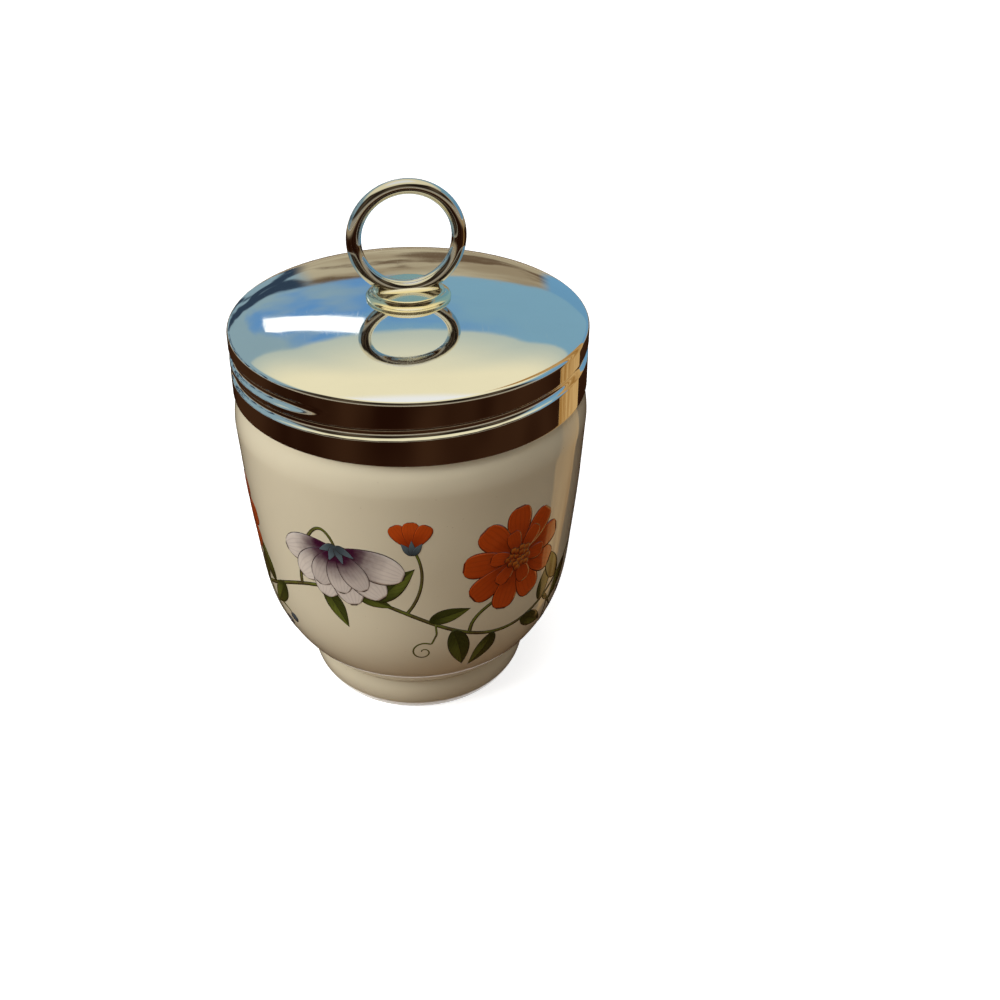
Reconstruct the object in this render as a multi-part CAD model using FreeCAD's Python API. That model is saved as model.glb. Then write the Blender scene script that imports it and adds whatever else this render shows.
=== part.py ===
import FreeCAD, Part
import math
import os

# Egg coddler: a porcelain cup closed by a sheet metal cap that screws onto its neck.
# Millimetres and degrees. +Z is up, and the origin is the middle of the foot, on the table.
# Azimuth is counted from +X towards +Y, so 270 is the front.

# Foot of the cup
foot_height = 8.0
foot_top_radius = 21.1
foot_bulge_radius = 21.3
foot_bulge_height = 4.6
foot_edge_radius = 19.3
ground_ring_width = 2.0
recess_depth = 3.0
recess_slope = 1.2

# Bowl of the cup, from the foot up to the shoulder
bowl_radius = 32.25
bowl_widest_height = 57.0
bowl_bottom_radius = 25.4
bowl_bottom_height = 13.2
bowl_low_radius = 28.5
bowl_low_height = 19.8
bowl_middle_inset = 1.95
bowl_middle_height = 31.0
bowl_high_inset = 0.75
bowl_high_height = 44.5
shoulder_radius = 17.0
shoulder_rise = 5.6
bowl_wall = 3.5
floor_thickness = 4.0
floor_flat_radius = 6.0

# Neck of the cup
lip_wall = 3.4
lip_clearance = 0.35
neck_clearance = 0.35
neck_bore_depth = 13.0

# Metal cap
lid_inset = 0.25
lid_sheet = 0.45
lid_gap = 0.5
skirt_height = 11.1
skirt_edge_rounding = 0.2
edge_rounding = 1.0
crown_curve_radius = 150.0
crown_margin = 5.0
crown_shoulder_fall = 2.25

# Two-start thread, rolled inwards in the cap and raised on the porcelain neck
thread_starts = 2
thread_lead = 6.0
groove_depth = 0.7
groove_curve_radius = 1.15
groove_height = 6.05
groove_first_azimuth = 175.0
groove_last_azimuth = 430.0
ridge_overlap = 0.3
ridge_curve_radius = 0.9
ridge_first_azimuth = 150.0
ridge_last_azimuth = 330.0
run_out = 22.0
run_out_margin = 0.1
section_step = 9.0

# Seat that carries the ring, with a stem through the cap
seat_height = 1.45
seat_top_radius = 6.3
seat_flange_radius = 7.5
seat_flange_thickness = 0.35
seat_rim_rounding = 0.3
seat_flare_depth = 0.25
saddle_length = 11.6
saddle_width = 4.4
saddle_rise = 1.1
stem_radius = 1.75
stem_clearance = 0.05
stem_head_radius = 2.9
stem_head_height = 0.8
stem_head_flat = 0.8

# Lifting ring of round wire
ring_mean_radius = 9.13
ring_wire_radius = 1.31
ring_sunk = 1.25
ring_azimuth = 8.0
ring_fit = 0.02

# Backing washer under the cap
washer_radius = 5.0
washer_thickness = 0.6
washer_clearance = 0.05

# Levels and radii that follow from the values above
shoulder_end_height = bowl_widest_height + shoulder_rise
shoulder_drop = shoulder_radius - math.sqrt(shoulder_radius ** 2 - shoulder_rise ** 2)
shoulder_end_radius = bowl_radius - shoulder_drop
lid_radius = bowl_radius - lid_inset
crown_reach = lid_radius - crown_margin
crown_fall = crown_curve_radius - math.sqrt(crown_curve_radius ** 2 - crown_reach ** 2)
crown_height = crown_fall + crown_shoulder_fall
skirt_bottom = shoulder_end_height + lid_gap
skirt_top = skirt_bottom + skirt_height
crown_top = skirt_top + crown_height
crown_underside = crown_top - lid_sheet
skirt_inner_radius = lid_radius - lid_sheet
bead_inner_radius = skirt_inner_radius - groove_depth
neck_radius = bead_inner_radius - neck_clearance
ridge_outer_radius = bead_inner_radius + ridge_overlap
neck_bore_radius = neck_radius - lip_wall
washer_hole_radius = stem_radius + washer_clearance
seat_top = crown_top + seat_height
ring_height = seat_top - ring_sunk + ring_wire_radius + ring_mean_radius

Z_AXIS = FreeCAD.Vector(0, 0, 1)
ORIGIN = FreeCAD.Vector(0, 0, 0)


def at(radius, height):
    """A point of a profile, in the plane that is turned about the Z axis."""
    return FreeCAD.Vector(radius, 0, height)


def around(radius, height, azimuth):
    angle = math.radians(azimuth)
    return FreeCAD.Vector(radius * math.cos(angle), radius * math.sin(angle), height)


def line(start, end):
    return Part.LineSegment(start, end).toShape()


def arc(start, middle, end):
    return Part.Arc(start, middle, end).toShape()


def arc_about(centre, radius, first, last):
    """An arc of a profile between two slopes, counted from level at the top."""
    def on_arc(slope):
        turn = math.radians(slope)
        return centre + at(radius * math.sin(turn), radius * math.cos(turn))
    return arc(on_arc(first), on_arc((first + last) / 2), on_arc(last))


def revolve(edges):
    """Turns a closed profile once about the Z axis."""
    face = Part.Face(Part.Wire(Part.__sortEdges__(edges)))
    solid = face.revolve(ORIGIN, Z_AXIS, 360)
    if solid.Volume < 0:
        solid.reverse()
    return solid


def crown_slope():
    return math.degrees(math.asin(crown_reach / crown_curve_radius))


def crown_centre():
    return at(0, crown_top - crown_curve_radius)


def corner_centre():
    return at(lid_radius - edge_rounding, skirt_top)


def lid_shoulder():
    """Centre, radius and last slope of the arc that joins the crown to the corner smoothly."""
    slope = math.radians(crown_slope())
    start = crown_centre() + at(crown_reach, crown_curve_radius * math.cos(slope))
    across = corner_centre().x - start.x
    down = start.z - corner_centre().z
    lean = across * math.sin(slope) - down * math.cos(slope)
    radius = (edge_rounding ** 2 - across ** 2 - down ** 2) / (2 * (lean + edge_rounding))
    centre = start - at(radius * math.sin(slope), radius * math.cos(slope))
    to_corner = corner_centre() - centre
    return centre, radius, math.degrees(math.atan2(to_corner.x, to_corner.z))


def lid_profile(depth):
    """The cap's outline at a depth below its outer face, from the axis to the skirt's edge."""
    centre, radius, last_slope = lid_shoulder()
    return [
        arc_about(crown_centre(), crown_curve_radius - depth, 0, crown_slope()),
        arc_about(centre, radius - depth, crown_slope(), last_slope),
        arc_about(corner_centre(), edge_rounding - depth, last_slope, 90),
        line(at(lid_radius - depth, skirt_top), at(lid_radius - depth, skirt_bottom + skirt_edge_rounding)),
    ]


def crown_height_at(radius, depth):
    """Height of the crown's face at a radius inside its reach."""
    curve = crown_curve_radius - depth
    return crown_top - crown_curve_radius + math.sqrt(curve ** 2 - radius ** 2)


def underside_height_at(radius):
    """Height of the cap's inner face over the neck, where the shoulder's arc is."""
    centre, curve, last_slope = lid_shoulder()
    return centre.z + math.sqrt((curve - lid_sheet) ** 2 - (radius - centre.x) ** 2)


def helical_bar(centre_radius, section_radius, middle_height, first, last, shift):
    """A round bar that follows the thread, its ends moved radially by the shift so that they run out."""
    spans = max(4, round((last - first) / section_step))
    sections = []
    for index in range(spans + 1):
        azimuth = first + (last - first) * index / spans
        to_end = min(azimuth - first, last - azimuth)
        share = max(0.0, 1 - to_end / run_out)
        radius = centre_radius + shift * share * share * (3 - 2 * share)
        height = middle_height + thread_lead * (azimuth - 270) / 360
        inner = around(radius - section_radius, height, azimuth)
        outer = around(radius + section_radius, height, azimuth)
        above = around(radius, height + section_radius, azimuth)
        below = around(radius, height - section_radius, azimuth)
        sections.append(Part.Wire([arc(inner, above, outer), arc(outer, below, inner)]))
    return Part.makeLoft(sections, True, False)


def turned(shape, degrees):
    copy = shape.copy()
    copy.rotate(ORIGIN, Z_AXIS, degrees)
    return copy


def starts_of(shape):
    return [turned(shape, 360 * start / thread_starts) for start in range(thread_starts)]


def make_lid_shell():
    outer = lid_profile(0)
    inner = lid_profile(lid_sheet)
    middle = lid_radius - lid_sheet / 2
    edge = [
        line(at(lid_radius, skirt_bottom + skirt_edge_rounding), at(middle, skirt_bottom)),
        line(at(middle, skirt_bottom), at(skirt_inner_radius, skirt_bottom + skirt_edge_rounding)),
    ]
    shell = revolve(outer + inner + edge + [line(at(0, crown_top), at(0, crown_underside))])

    groove_centre = lid_radius + groove_curve_radius - groove_depth
    middle_height = skirt_bottom + groove_height
    ends = (groove_first_azimuth, groove_last_azimuth)
    shift = groove_depth + run_out_margin
    groove = helical_bar(groove_centre, groove_curve_radius, middle_height, *ends, shift)
    bead = helical_bar(groove_centre, groove_curve_radius + lid_sheet, middle_height, *ends, shift)
    half_way = Part.makeCylinder(middle, skirt_height, at(0, skirt_bottom))
    shell = shell.fuse([part.common(half_way) for part in starts_of(bead)])
    shell = shell.cut(starts_of(groove))

    hole = Part.makeCylinder(stem_radius + stem_clearance, crown_height, at(0, crown_top - crown_height / 2))
    return shell.cut(hole)


def bowl_outline():
    """The bowl's outer outline, from the top of the foot to its widest place."""
    curve = Part.BSplineCurve()
    points = [
        at(foot_top_radius, foot_height),
        at(bowl_bottom_radius, bowl_bottom_height),
        at(bowl_low_radius, bowl_low_height),
        at(bowl_radius - bowl_middle_inset, bowl_middle_height),
        at(bowl_radius - bowl_high_inset, bowl_high_height),
        at(bowl_radius, bowl_widest_height),
    ]
    curve.interpolate(Points=points)
    return curve


def cavity_outline(bowl, neck_foot):
    """The cavity's outline, one wall inside the bowl, from its flat floor up to the neck's bore."""
    points = [at(floor_flat_radius, foot_height + floor_thickness)]
    first, last = bowl.FirstParameter, bowl.LastParameter
    for share in (0.2, 0.4, 0.6, 0.8):
        parameter = first + (last - first) * share
        along = bowl.tangent(parameter)[0]
        points.append(bowl.value(parameter) + FreeCAD.Vector(-along.z, 0, along.x) * bowl_wall)
    points.append(neck_foot)
    curve = Part.BSplineCurve()
    curve.interpolate(Points=points, InitialTangent=at(1, 0), FinalTangent=at(0, 1))
    return curve


def lip_level():
    lip_middle = neck_radius - lip_wall / 2
    return underside_height_at(lip_middle) - lip_clearance


def make_cup():
    ring_inner = foot_edge_radius - ground_ring_width
    recess_radius = ring_inner - recess_slope
    foot = [
        line(at(0, recess_depth), at(recess_radius, recess_depth)),
        line(at(recess_radius, recess_depth), at(ring_inner, 0)),
        line(at(ring_inner, 0), at(foot_edge_radius, 0)),
        arc(
            at(foot_edge_radius, 0),
            at(foot_bulge_radius, foot_bulge_height),
            at(foot_top_radius, foot_height),
        ),
    ]

    bowl = bowl_outline()
    step = shoulder_end_radius - neck_radius
    shoulder_centre = at(bowl_radius - shoulder_radius, bowl_widest_height)
    half_rise = math.asin(shoulder_rise / shoulder_radius) / 2
    shoulder_middle = shoulder_centre + at(
        shoulder_radius * math.cos(half_rise), shoulder_radius * math.sin(half_rise)
    )
    neck_base = at(neck_radius, shoulder_end_height + step)
    ledge_middle = at(neck_radius + step * math.cos(math.radians(45)),
                      shoulder_end_height + step * math.sin(math.radians(45)))
    shoulder = [
        arc(at(bowl_radius, bowl_widest_height), shoulder_middle, at(shoulder_end_radius, shoulder_end_height)),
        arc(at(shoulder_end_radius, shoulder_end_height), ledge_middle, neck_base),
    ]

    lip_half = lip_wall / 2
    lip_base = lip_level() - lip_half
    neck_foot = at(neck_bore_radius, lip_level() - neck_bore_depth)
    neck = [
        line(neck_base, at(neck_radius, lip_base)),
        arc(at(neck_radius, lip_base), at(neck_radius - lip_half, lip_level()), at(neck_bore_radius, lip_base)),
        line(at(neck_bore_radius, lip_base), neck_foot),
    ]

    cavity = cavity_outline(bowl, neck_foot)
    floor = line(at(floor_flat_radius, foot_height + floor_thickness), at(0, foot_height + floor_thickness))
    core = line(at(0, recess_depth), at(0, foot_height + floor_thickness))
    body = revolve(foot + [bowl.toShape()] + shoulder + neck + [cavity.toShape(), floor, core])

    pitch = thread_lead / thread_starts
    ridge = helical_bar(
        ridge_outer_radius - ridge_curve_radius,
        ridge_curve_radius,
        skirt_bottom + groove_height + pitch / 2,
        ridge_first_azimuth,
        ridge_last_azimuth,
        -2 * (ridge_outer_radius - neck_radius),
    )
    return body.fuse(starts_of(ridge))


def make_ring():
    ring = Part.makeTorus(ring_mean_radius, ring_wire_radius, at(0, ring_height), FreeCAD.Vector(0, 1, 0))
    return turned(ring, ring_azimuth)


def make_ring_seat():
    """A flared collar on the crown. A saddle on top holds the ring, and a headed stem goes through the cap."""
    flange_base = crown_height_at(seat_flange_radius, 0)
    flange_top = flange_base + seat_flange_thickness
    rim_level = seat_top - seat_rim_rounding
    rim = at(seat_top_radius, rim_level)
    flange = at(seat_flange_radius, flange_top)
    inwards = FreeCAD.Vector(flange_top - rim_level, 0, seat_top_radius - seat_flange_radius).normalize()
    flare_middle = (rim + flange) / 2 + inwards * seat_flare_depth
    washer_level = crown_height_at(washer_radius, lid_sheet) - 2 * washer_clearance
    head_top = washer_level - washer_thickness - washer_clearance
    head_bottom = head_top - stem_head_height
    head_curve = (stem_head_radius ** 2 + stem_head_height ** 2) / (2 * stem_head_height)
    head_slope = math.degrees(math.asin(stem_head_radius / head_curve))
    flat_slope = math.degrees(math.asin(stem_head_flat / head_curve))
    flat_level = head_bottom + head_curve - math.sqrt(head_curve ** 2 - stem_head_flat ** 2)
    diagonal = math.sqrt(0.5)
    stem_slope = math.degrees(math.asin(stem_radius / crown_curve_radius))
    flange_slope = math.degrees(math.asin(seat_flange_radius / crown_curve_radius))
    body = revolve([
        line(at(0, seat_top), at(seat_top_radius - seat_rim_rounding, seat_top)),
        arc(
            at(seat_top_radius - seat_rim_rounding, seat_top),
            at(seat_top_radius - seat_rim_rounding * (1 - diagonal), rim_level + seat_rim_rounding * diagonal),
            at(seat_top_radius, rim_level),
        ),
        arc(rim, flare_middle, flange),
        line(flange, at(seat_flange_radius, flange_base)),
        arc_about(crown_centre(), crown_curve_radius, stem_slope, flange_slope),
        line(at(stem_radius, crown_height_at(stem_radius, 0)), at(stem_radius, head_top)),
        line(at(stem_radius, head_top), at(stem_head_radius, head_top)),
        arc_about(at(0, head_bottom + head_curve), head_curve, 180 - head_slope, 180 - flat_slope),
        line(at(stem_head_flat, flat_level), at(0, flat_level)),
        line(at(0, flat_level), at(0, seat_top)),
    ])

    half_length = saddle_length / 2
    half_width = saddle_width / 2
    foot_level = seat_top - seat_rim_rounding
    outline = Part.makePolygon([
        FreeCAD.Vector(-half_length, -half_width, foot_level),
        FreeCAD.Vector(-half_length, -half_width, seat_top),
        FreeCAD.Vector(-half_length, 0, seat_top + saddle_rise),
        FreeCAD.Vector(-half_length, half_width, seat_top),
        FreeCAD.Vector(-half_length, half_width, foot_level),
        FreeCAD.Vector(-half_length, -half_width, foot_level),
    ])
    saddle = Part.Face(outline).extrude(FreeCAD.Vector(saddle_length, 0, 0))
    saddle = saddle.common(Part.makeCylinder(half_length, seat_height, at(0, foot_level)))
    groove = Part.makeTorus(
        ring_mean_radius, ring_wire_radius + ring_fit, at(0, ring_height), FreeCAD.Vector(0, 1, 0)
    )
    return turned(body.fuse(saddle).cut(groove), ring_azimuth)


def make_backing_washer():
    top = crown_height_at(washer_radius, lid_sheet) - washer_clearance
    low = top - washer_thickness
    disc = Part.makeCylinder(washer_radius, washer_thickness, at(0, low))
    return disc.cut(Part.makeCylinder(washer_hole_radius, washer_thickness, at(0, low)))


PIECES = {
    "cup": make_cup,
    "lid_shell": make_lid_shell,
    "ring_seat": make_ring_seat,
    "lifting_ring": make_ring,
    "backing_washer": make_backing_washer,
}


def main():
    os.makedirs("parts", exist_ok=True)
    for name, make in PIECES.items():
        shape = make().removeSplitter()
        shape.exportStep(os.path.join("parts", name + ".step"))
        bounds = shape.BoundBox
        print(name, "valid" if shape.isValid() else "NOT VALID", "solids", len(shape.Solids),
              "volume", round(shape.Volume, 1), "z", round(bounds.ZMin, 2), round(bounds.ZMax, 2))


main()
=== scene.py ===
"""Egg coddler: a porcelain cup with a painted garland, and a polished screw cap with a lifting ring."""

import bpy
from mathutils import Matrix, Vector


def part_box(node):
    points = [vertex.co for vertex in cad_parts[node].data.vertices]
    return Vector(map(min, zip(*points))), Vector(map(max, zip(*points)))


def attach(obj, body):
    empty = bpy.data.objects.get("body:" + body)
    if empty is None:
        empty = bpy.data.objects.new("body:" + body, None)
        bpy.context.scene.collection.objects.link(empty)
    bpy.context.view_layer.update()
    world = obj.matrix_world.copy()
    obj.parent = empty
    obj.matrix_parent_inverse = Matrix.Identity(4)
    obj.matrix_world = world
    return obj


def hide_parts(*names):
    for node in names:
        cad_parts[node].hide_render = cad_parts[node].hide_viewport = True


bl_info = {
    "name": "Egg coddler",
    "version": (1, 0, 0),
    "blender": (4, 5, 0),
    "location": "View3D > Sidebar > Egg coddler",
    "description": "Builds a porcelain egg coddler with its screw cap around a fixed frame",
    "category": "Add Mesh",
}

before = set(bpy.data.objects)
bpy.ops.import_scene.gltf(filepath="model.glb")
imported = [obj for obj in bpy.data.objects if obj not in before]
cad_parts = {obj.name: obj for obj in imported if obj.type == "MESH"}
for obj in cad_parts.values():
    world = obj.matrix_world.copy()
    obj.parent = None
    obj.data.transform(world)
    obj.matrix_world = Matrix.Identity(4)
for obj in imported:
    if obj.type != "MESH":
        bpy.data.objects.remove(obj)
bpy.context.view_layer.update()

import math

import bpy
import numpy as np
from bpy.props import FloatProperty, FloatVectorProperty, IntProperty, PointerProperty
from mathutils import Matrix, Vector

MM = 0.001

# A radius below this is on the axis
ON_AXIS = 1e-9

# Azimuths, in degrees from +X: the front, and where the neck's threads and the cap's grooves begin and end
FRONT = 270.0
NECK_THREAD = (150.0, 330.0)
CAP_THREAD = (175.0, 430.0)

# Threads side by side, and the degrees over which each sinks away at its ends
THREAD_STARTS = 2
RUN_OUT = 22.0

CUP_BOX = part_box("cup")
LID_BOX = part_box("lid_shell")
RING_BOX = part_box("lifting_ring")
SEAT_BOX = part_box("ring_seat")
WASHER_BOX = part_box("backing_washer")


def length(name, default, description):
    """A size, given in metres."""
    return FloatProperty(name=name, description=description, default=default, unit="LENGTH", precision=5)


def display(red, green, blue):
    """A colour as a screen shows it, from 0 to 255, in Blender's linear values."""
    shares = [value / 255 for value in (red, green, blue)]
    return tuple(((s + 0.055) / 1.055) ** 2.4 if s > 0.04 else s / 12.92 for s in shares)


def colour(name, shown, description):
    """A colour, given as a screen shows it."""
    return FloatVectorProperty(
        name=name, description=description, subtype="COLOR", size=3, min=0, max=1, default=display(*shown)
    )


class CoddlerCup(bpy.types.PropertyGroup):
    """Sizes of the porcelain cup."""

    foot_height: length("Foot height", 8.0 * MM, "Height of the foot, up to the crease under the bowl")
    foot_top_radius: length("Foot top radius", 21.1 * MM, "Radius of the crease between foot and bowl")
    foot_bulge_radius: length("Foot bulge radius", 21.3 * MM, "Widest radius of the foot")
    foot_bulge_height: length("Foot bulge height", 4.6 * MM, "Height of the foot's widest place")
    foot_edge_radius: length(
        "Foot edge radius", 19.3 * MM, "Outer radius of the ring that stands on the table"
    )
    ground_ring_width: length("Ground ring width", 2.0 * MM, "Width of the unglazed ring under the foot")
    recess_depth: length("Recess depth", 3.0 * MM, "Depth of the hollow under the foot")
    recess_slope: length("Recess slope", 1.2 * MM, "How far the recess wall leans inwards")
    bowl_radius: length("Bowl radius", CUP_BOX[1].x, "Widest radius of the bowl")
    widest_height: length("Widest height", 57.0 * MM, "Height of the bowl's widest place")
    shoulder_radius: length("Shoulder curve", 17.0 * MM, "Radius of the curve above the widest place")
    shoulder_rise: length("Shoulder rise", 5.6 * MM, "Height of the shoulder over the widest place")
    wall: length("Wall", 3.5 * MM, "Thickness of the bowl")
    floor_thickness: length("Floor thickness", 4.0 * MM, "Porcelain over the foot's crease")
    floor_flat_radius: length("Flat floor radius", 6.0 * MM, "Radius of the flat middle of the floor")
    neck_radius: length("Neck radius", 30.5 * MM, "Outer radius of the neck under the cap")
    neck_wall: length("Neck wall", 3.4 * MM, "Thickness of the neck and lip")
    neck_depth: length("Neck depth", 13.0 * MM, "Height of the straight bore under the lip")
    ridge_height: length("Thread height", 0.65 * MM, "How far the threads stand out of the neck")
    ridge_curve: length("Thread curve", 0.9 * MM, "Radius of the threads' round section")
    softness: length("Glaze softness", 0.22 * MM, "How far the glaze rounds every edge")
    segments: IntProperty(name="Segments", description="Facets round the cup", default=192, min=32)


class CoddlerCap(bpy.types.PropertyGroup):
    """Sizes of the metal cap, its seat, ring and washer."""

    radius: length("Cap radius", LID_BOX[1].x, "Outer radius of the skirt")
    sheet: length("Sheet", 0.45 * MM, "Thickness of the metal")
    skirt_bottom: length("Skirt bottom", LID_BOX[0].z, "Height of the skirt's lower edge")
    skirt_height: length("Skirt height", 11.1 * MM, "Straight height of the skirt")
    crown_top: length("Crown top", 78.9 * MM, "Height of the dome's middle")
    crown_curve: length("Crown curve", 150.0 * MM, "Radius of the shallow dome")
    crown_reach: length("Crown reach", 27.0 * MM, "Radius where the dome meets the soft shoulder")
    corner: length("Corner", 1.0 * MM, "Radius of the bend at the top of the skirt")
    groove_depth: length("Groove depth", 0.7 * MM, "Depth of the rolled thread")
    groove_curve: length("Groove curve", 1.15 * MM, "Radius of the roller's edge")
    groove_height: length(
        "Groove height", 6.05 * MM, "Height of the first groove over the skirt's edge, at the front"
    )
    thread_lead: length("Thread lead", 6.0 * MM, "Rise of one whole turn")
    softness: length("Roll softness", 0.22 * MM, "How softly the grooves run into the skirt")
    hole_radius: length("Hole radius", 1.8 * MM, "Radius of the hole for the stem")
    segments: IntProperty(name="Segments", description="Facets round the cap", default=288, min=32)
    seat_radius: length("Seat radius", 6.3 * MM, "Radius of the seat's top")
    seat_flange: length("Seat flange", SEAT_BOX[1].x, "Radius of the seat's foot on the dome")
    seat_height: length("Seat height", 1.45 * MM, "Height of the seat over the dome's middle")
    saddle_length: length("Saddle length", 11.6 * MM, "Length of the solder that holds the ring")
    saddle_width: length("Saddle width", 4.4 * MM, "Width of that solder")
    saddle_rise: length("Saddle rise", 1.1 * MM, "Height of that solder over the seat")
    stem_radius: length("Stem radius", 1.75 * MM, "Radius of the stem through the cap")
    ring_wire: length("Ring wire", 1.31 * MM, "Radius of the ring's wire")
    washer_radius: length("Washer radius", WASHER_BOX[1].x, "Outer radius of the backing washer")


class CoddlerPrint(bpy.types.PropertyGroup):
    """Sizes of the painted garland."""

    repeats: IntProperty(
        name="Repeats", description="How often the garland repeats round the bowl", default=3, min=1
    )
    vine_height: length("Vine height", 24.0 * MM, "Middle height of the vine over the foot's crease")
    vine_sway: length("Vine sway", 6.0 * MM, "How far the vine swings up and down")
    vine_width: length("Vine width", 0.85 * MM, "Width of the vine's line")
    rosette_petal: length("Rosette petal", 11.0 * MM, "Length of the orange flower's outer petals")
    bell_petal: length("Bell petal", 13.5 * MM, "Length of the mauve bellflower's petals")
    leaf_length: length("Leaf length", 12.0 * MM, "Length of the large leaves")
    berry_size: length("Berry size", 2.6 * MM, "Diameter of a berry")
    coat: length("Enamel", 0.012 * MM, "How far the lowest paint stands over the glaze")
    step: length("Enamel step", 0.006 * MM, "How far each petal lies over the one before")
    phase: length("Phase", -32.0 * MM, "Where the first repeat starts, from the front")


class CoddlerColours(bpy.types.PropertyGroup):
    """Colours of the glaze, the paint and the metal."""

    glaze: colour("Glaze", (229, 221, 193), "Ivory glaze")
    # The darker glaze tone is used for the random clouds and for the painted shade at the foot's crease
    glaze_cloud_and_crease_shade: colour("Glaze cloud and crease shade", (206, 197, 170), "Where the glaze lies thicker")
    biscuit: colour("Biscuit", (222, 212, 190), "Unglazed ring under the foot")
    orange: colour("Orange", (202, 82, 24), "Bright part of the orange petals")
    orange_deep: colour("Deep orange", (140, 44, 10), "Base of the orange petals")
    mauve: colour("Mauve", (228, 219, 208), "Pale tips of the bellflower")
    mauve_deep: colour("Deep mauve", (62, 18, 46), "Base of the bellflower")
    leaf: colour("Leaf", (102, 112, 44), "Light side of the leaves")
    leaf_deep: colour("Deep leaf", (46, 52, 18), "Dark side of the leaves")
    stem: colour("Stem", (92, 84, 48), "Vine and stalks")
    berry: colour("Berry", (92, 108, 116), "Slate blue berries and calyxes")
    outline: colour("Outline", (38, 24, 24), "Fine drawn outline")
    chrome: colour("Chrome", (232, 232, 230), "Polished cap")
    wire: colour("Wire", (212, 211, 206), "Polished wire of the ring")
    solder: colour("Solder", (236, 226, 192), "Warm metal of the seat")
    steel: colour("Steel", (186, 186, 184), "Plain washer")


class CoddlerStage(bpy.types.PropertyGroup):
    """The camera and the studio round the object."""

    camera_place: FloatVectorProperty(
        name="Camera place", description="Where the camera stands", subtype="TRANSLATION", unit="LENGTH",
        size=3, precision=5, default=(0.0, -0.20923, 0.17302)
    )
    camera_turn: FloatProperty(name="Camera turn", description="Degrees to the right of +Y", default=4.51)
    camera_drop: FloatProperty(name="Camera drop", description="Degrees below the horizon", default=33.29)
    camera_roll: FloatProperty(name="Camera roll", description="Degrees of roll", default=0.62)
    camera_lens: FloatProperty(
        name="Lens", description="Focal length in millimetres on a 36 mm sensor", default=46.31,
        subtype="DISTANCE_CAMERA"
    )
    key_power: FloatProperty(
        name="Key light", description="Power of the large soft light at the left", default=4.2, unit="POWER"
    )
    top_power: FloatProperty(
        name="Top light", description="Power of the small light overhead", default=0.95, unit="POWER"
    )
    fill: FloatProperty(
        name="Fill", description="Level of the even light from all round", default=0.33, min=0
    )
    floor_lift: FloatProperty(
        name="Floor lift", description="How far the floor is lifted to white", default=0.72, min=0
    )


GROUPS = {
    "coddler_cup": CoddlerCup,
    "coddler_cap": CoddlerCap,
    "coddler_print": CoddlerPrint,
    "coddler_colours": CoddlerColours,
    "coddler_stage": CoddlerStage,
}


# Outlines: lists of radius and height, drawn upwards on the outside of a piece


def arc(centre, radius, first, last, count=24):
    """An arc of an outline between two slopes, counted from level at the top."""
    turns = np.radians(np.linspace(first, last, count))
    return np.column_stack((centre[0] + radius * np.sin(turns), centre[1] + radius * np.cos(turns)))


def arc_through(start, middle, end, count=40):
    """The arc that runs from one point through a second to a third."""
    start, middle, end = (np.array(p, float) for p in (start, middle, end))
    sides = 2 * np.array([middle - start, end - start])
    centre = np.linalg.solve(sides, [middle @ middle - start @ start, end @ end - start @ start])
    spokes = [p - centre for p in (start, middle, end)]
    turns = np.unwrap([math.atan2(s[1], s[0]) for s in spokes])
    radius = np.linalg.norm(spokes[0])
    sweep = np.linspace(turns[0], turns[2], count)
    return centre + radius * np.column_stack((np.cos(sweep), np.sin(sweep)))


def spline(points, first=None, last=None, count=200):
    """A smooth curve through the points. Its end slopes are given, or follow the points near that end."""
    p = np.array(points, float)
    spans = np.linalg.norm(np.diff(p, axis=0), axis=1)
    t = np.concatenate(([0], np.cumsum(spans)))
    start = np.polyfit(t[:4], p[:4], 3)[2] if first is None else np.array(first, float)
    end = np.polyfit(t[-4:] - t[-1], p[-4:], 3)[2] if last is None else np.array(last, float)
    system = np.eye(len(p))
    right = np.zeros_like(p)
    right[0], right[-1] = start, end
    for i in range(1, len(p) - 1):
        before, after = 1 / spans[i - 1], 1 / spans[i]
        system[i, i - 1:i + 2] = before, 2 * (before + after), after
        right[i] = 3 * ((p[i] - p[i - 1]) * before ** 2 + (p[i + 1] - p[i]) * after ** 2)
    slopes = np.linalg.solve(system, right)
    where = np.linspace(0, t[-1], count)
    i = np.clip(np.searchsorted(t, where, side="right") - 1, 0, len(spans) - 1)
    h = spans[i][:, None]
    s = ((where - t[i])[:, None]) / h
    return (
        p[i] * (1 + 2 * s) * (1 - s) ** 2 + p[i + 1] * s ** 2 * (3 - 2 * s)
        + slopes[i] * h * s * (1 - s) ** 2 - slopes[i + 1] * h * s ** 2 * (1 - s)
    )


def joined(*parts):
    """One outline from several, without doubled points."""
    points = np.concatenate([np.array(part, float) for part in parts])
    apart = np.linalg.norm(np.diff(points, axis=0), axis=1) > 1e-7
    return points[np.concatenate(([True], apart))]


def along(points):
    """The way to each point along the line, from its start."""
    return np.concatenate(([0], np.cumsum(np.linalg.norm(np.diff(points, axis=0), axis=1))))


def even(points, spacing):
    """The line with its points at equal steps, of about the spacing."""
    way = along(points)
    where = np.linspace(0, way[-1], max(2, round(way[-1] / spacing) + 1))
    return np.column_stack([np.interp(where, way, points[:, k]) for k in range(points.shape[1])])


def softened(points, reach, spacing=0.05 * MM):
    """The outline with its corners rounded, as glaze or polishing leaves them. Its ends stay in place."""
    points = even(points, spacing)
    half = int(3 * reach / spacing)
    weights = np.exp(-0.5 * (np.arange(-half, half + 1) * spacing / reach) ** 2)
    weights /= weights.sum()
    before = 2 * points[0] - points[half:0:-1]
    after = 2 * points[-1] - points[-2:-half - 2:-1]
    padded = np.concatenate((before, points, after))
    return np.column_stack([np.convolve(padded[:, k], weights, "valid") for k in range(2)])


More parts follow.
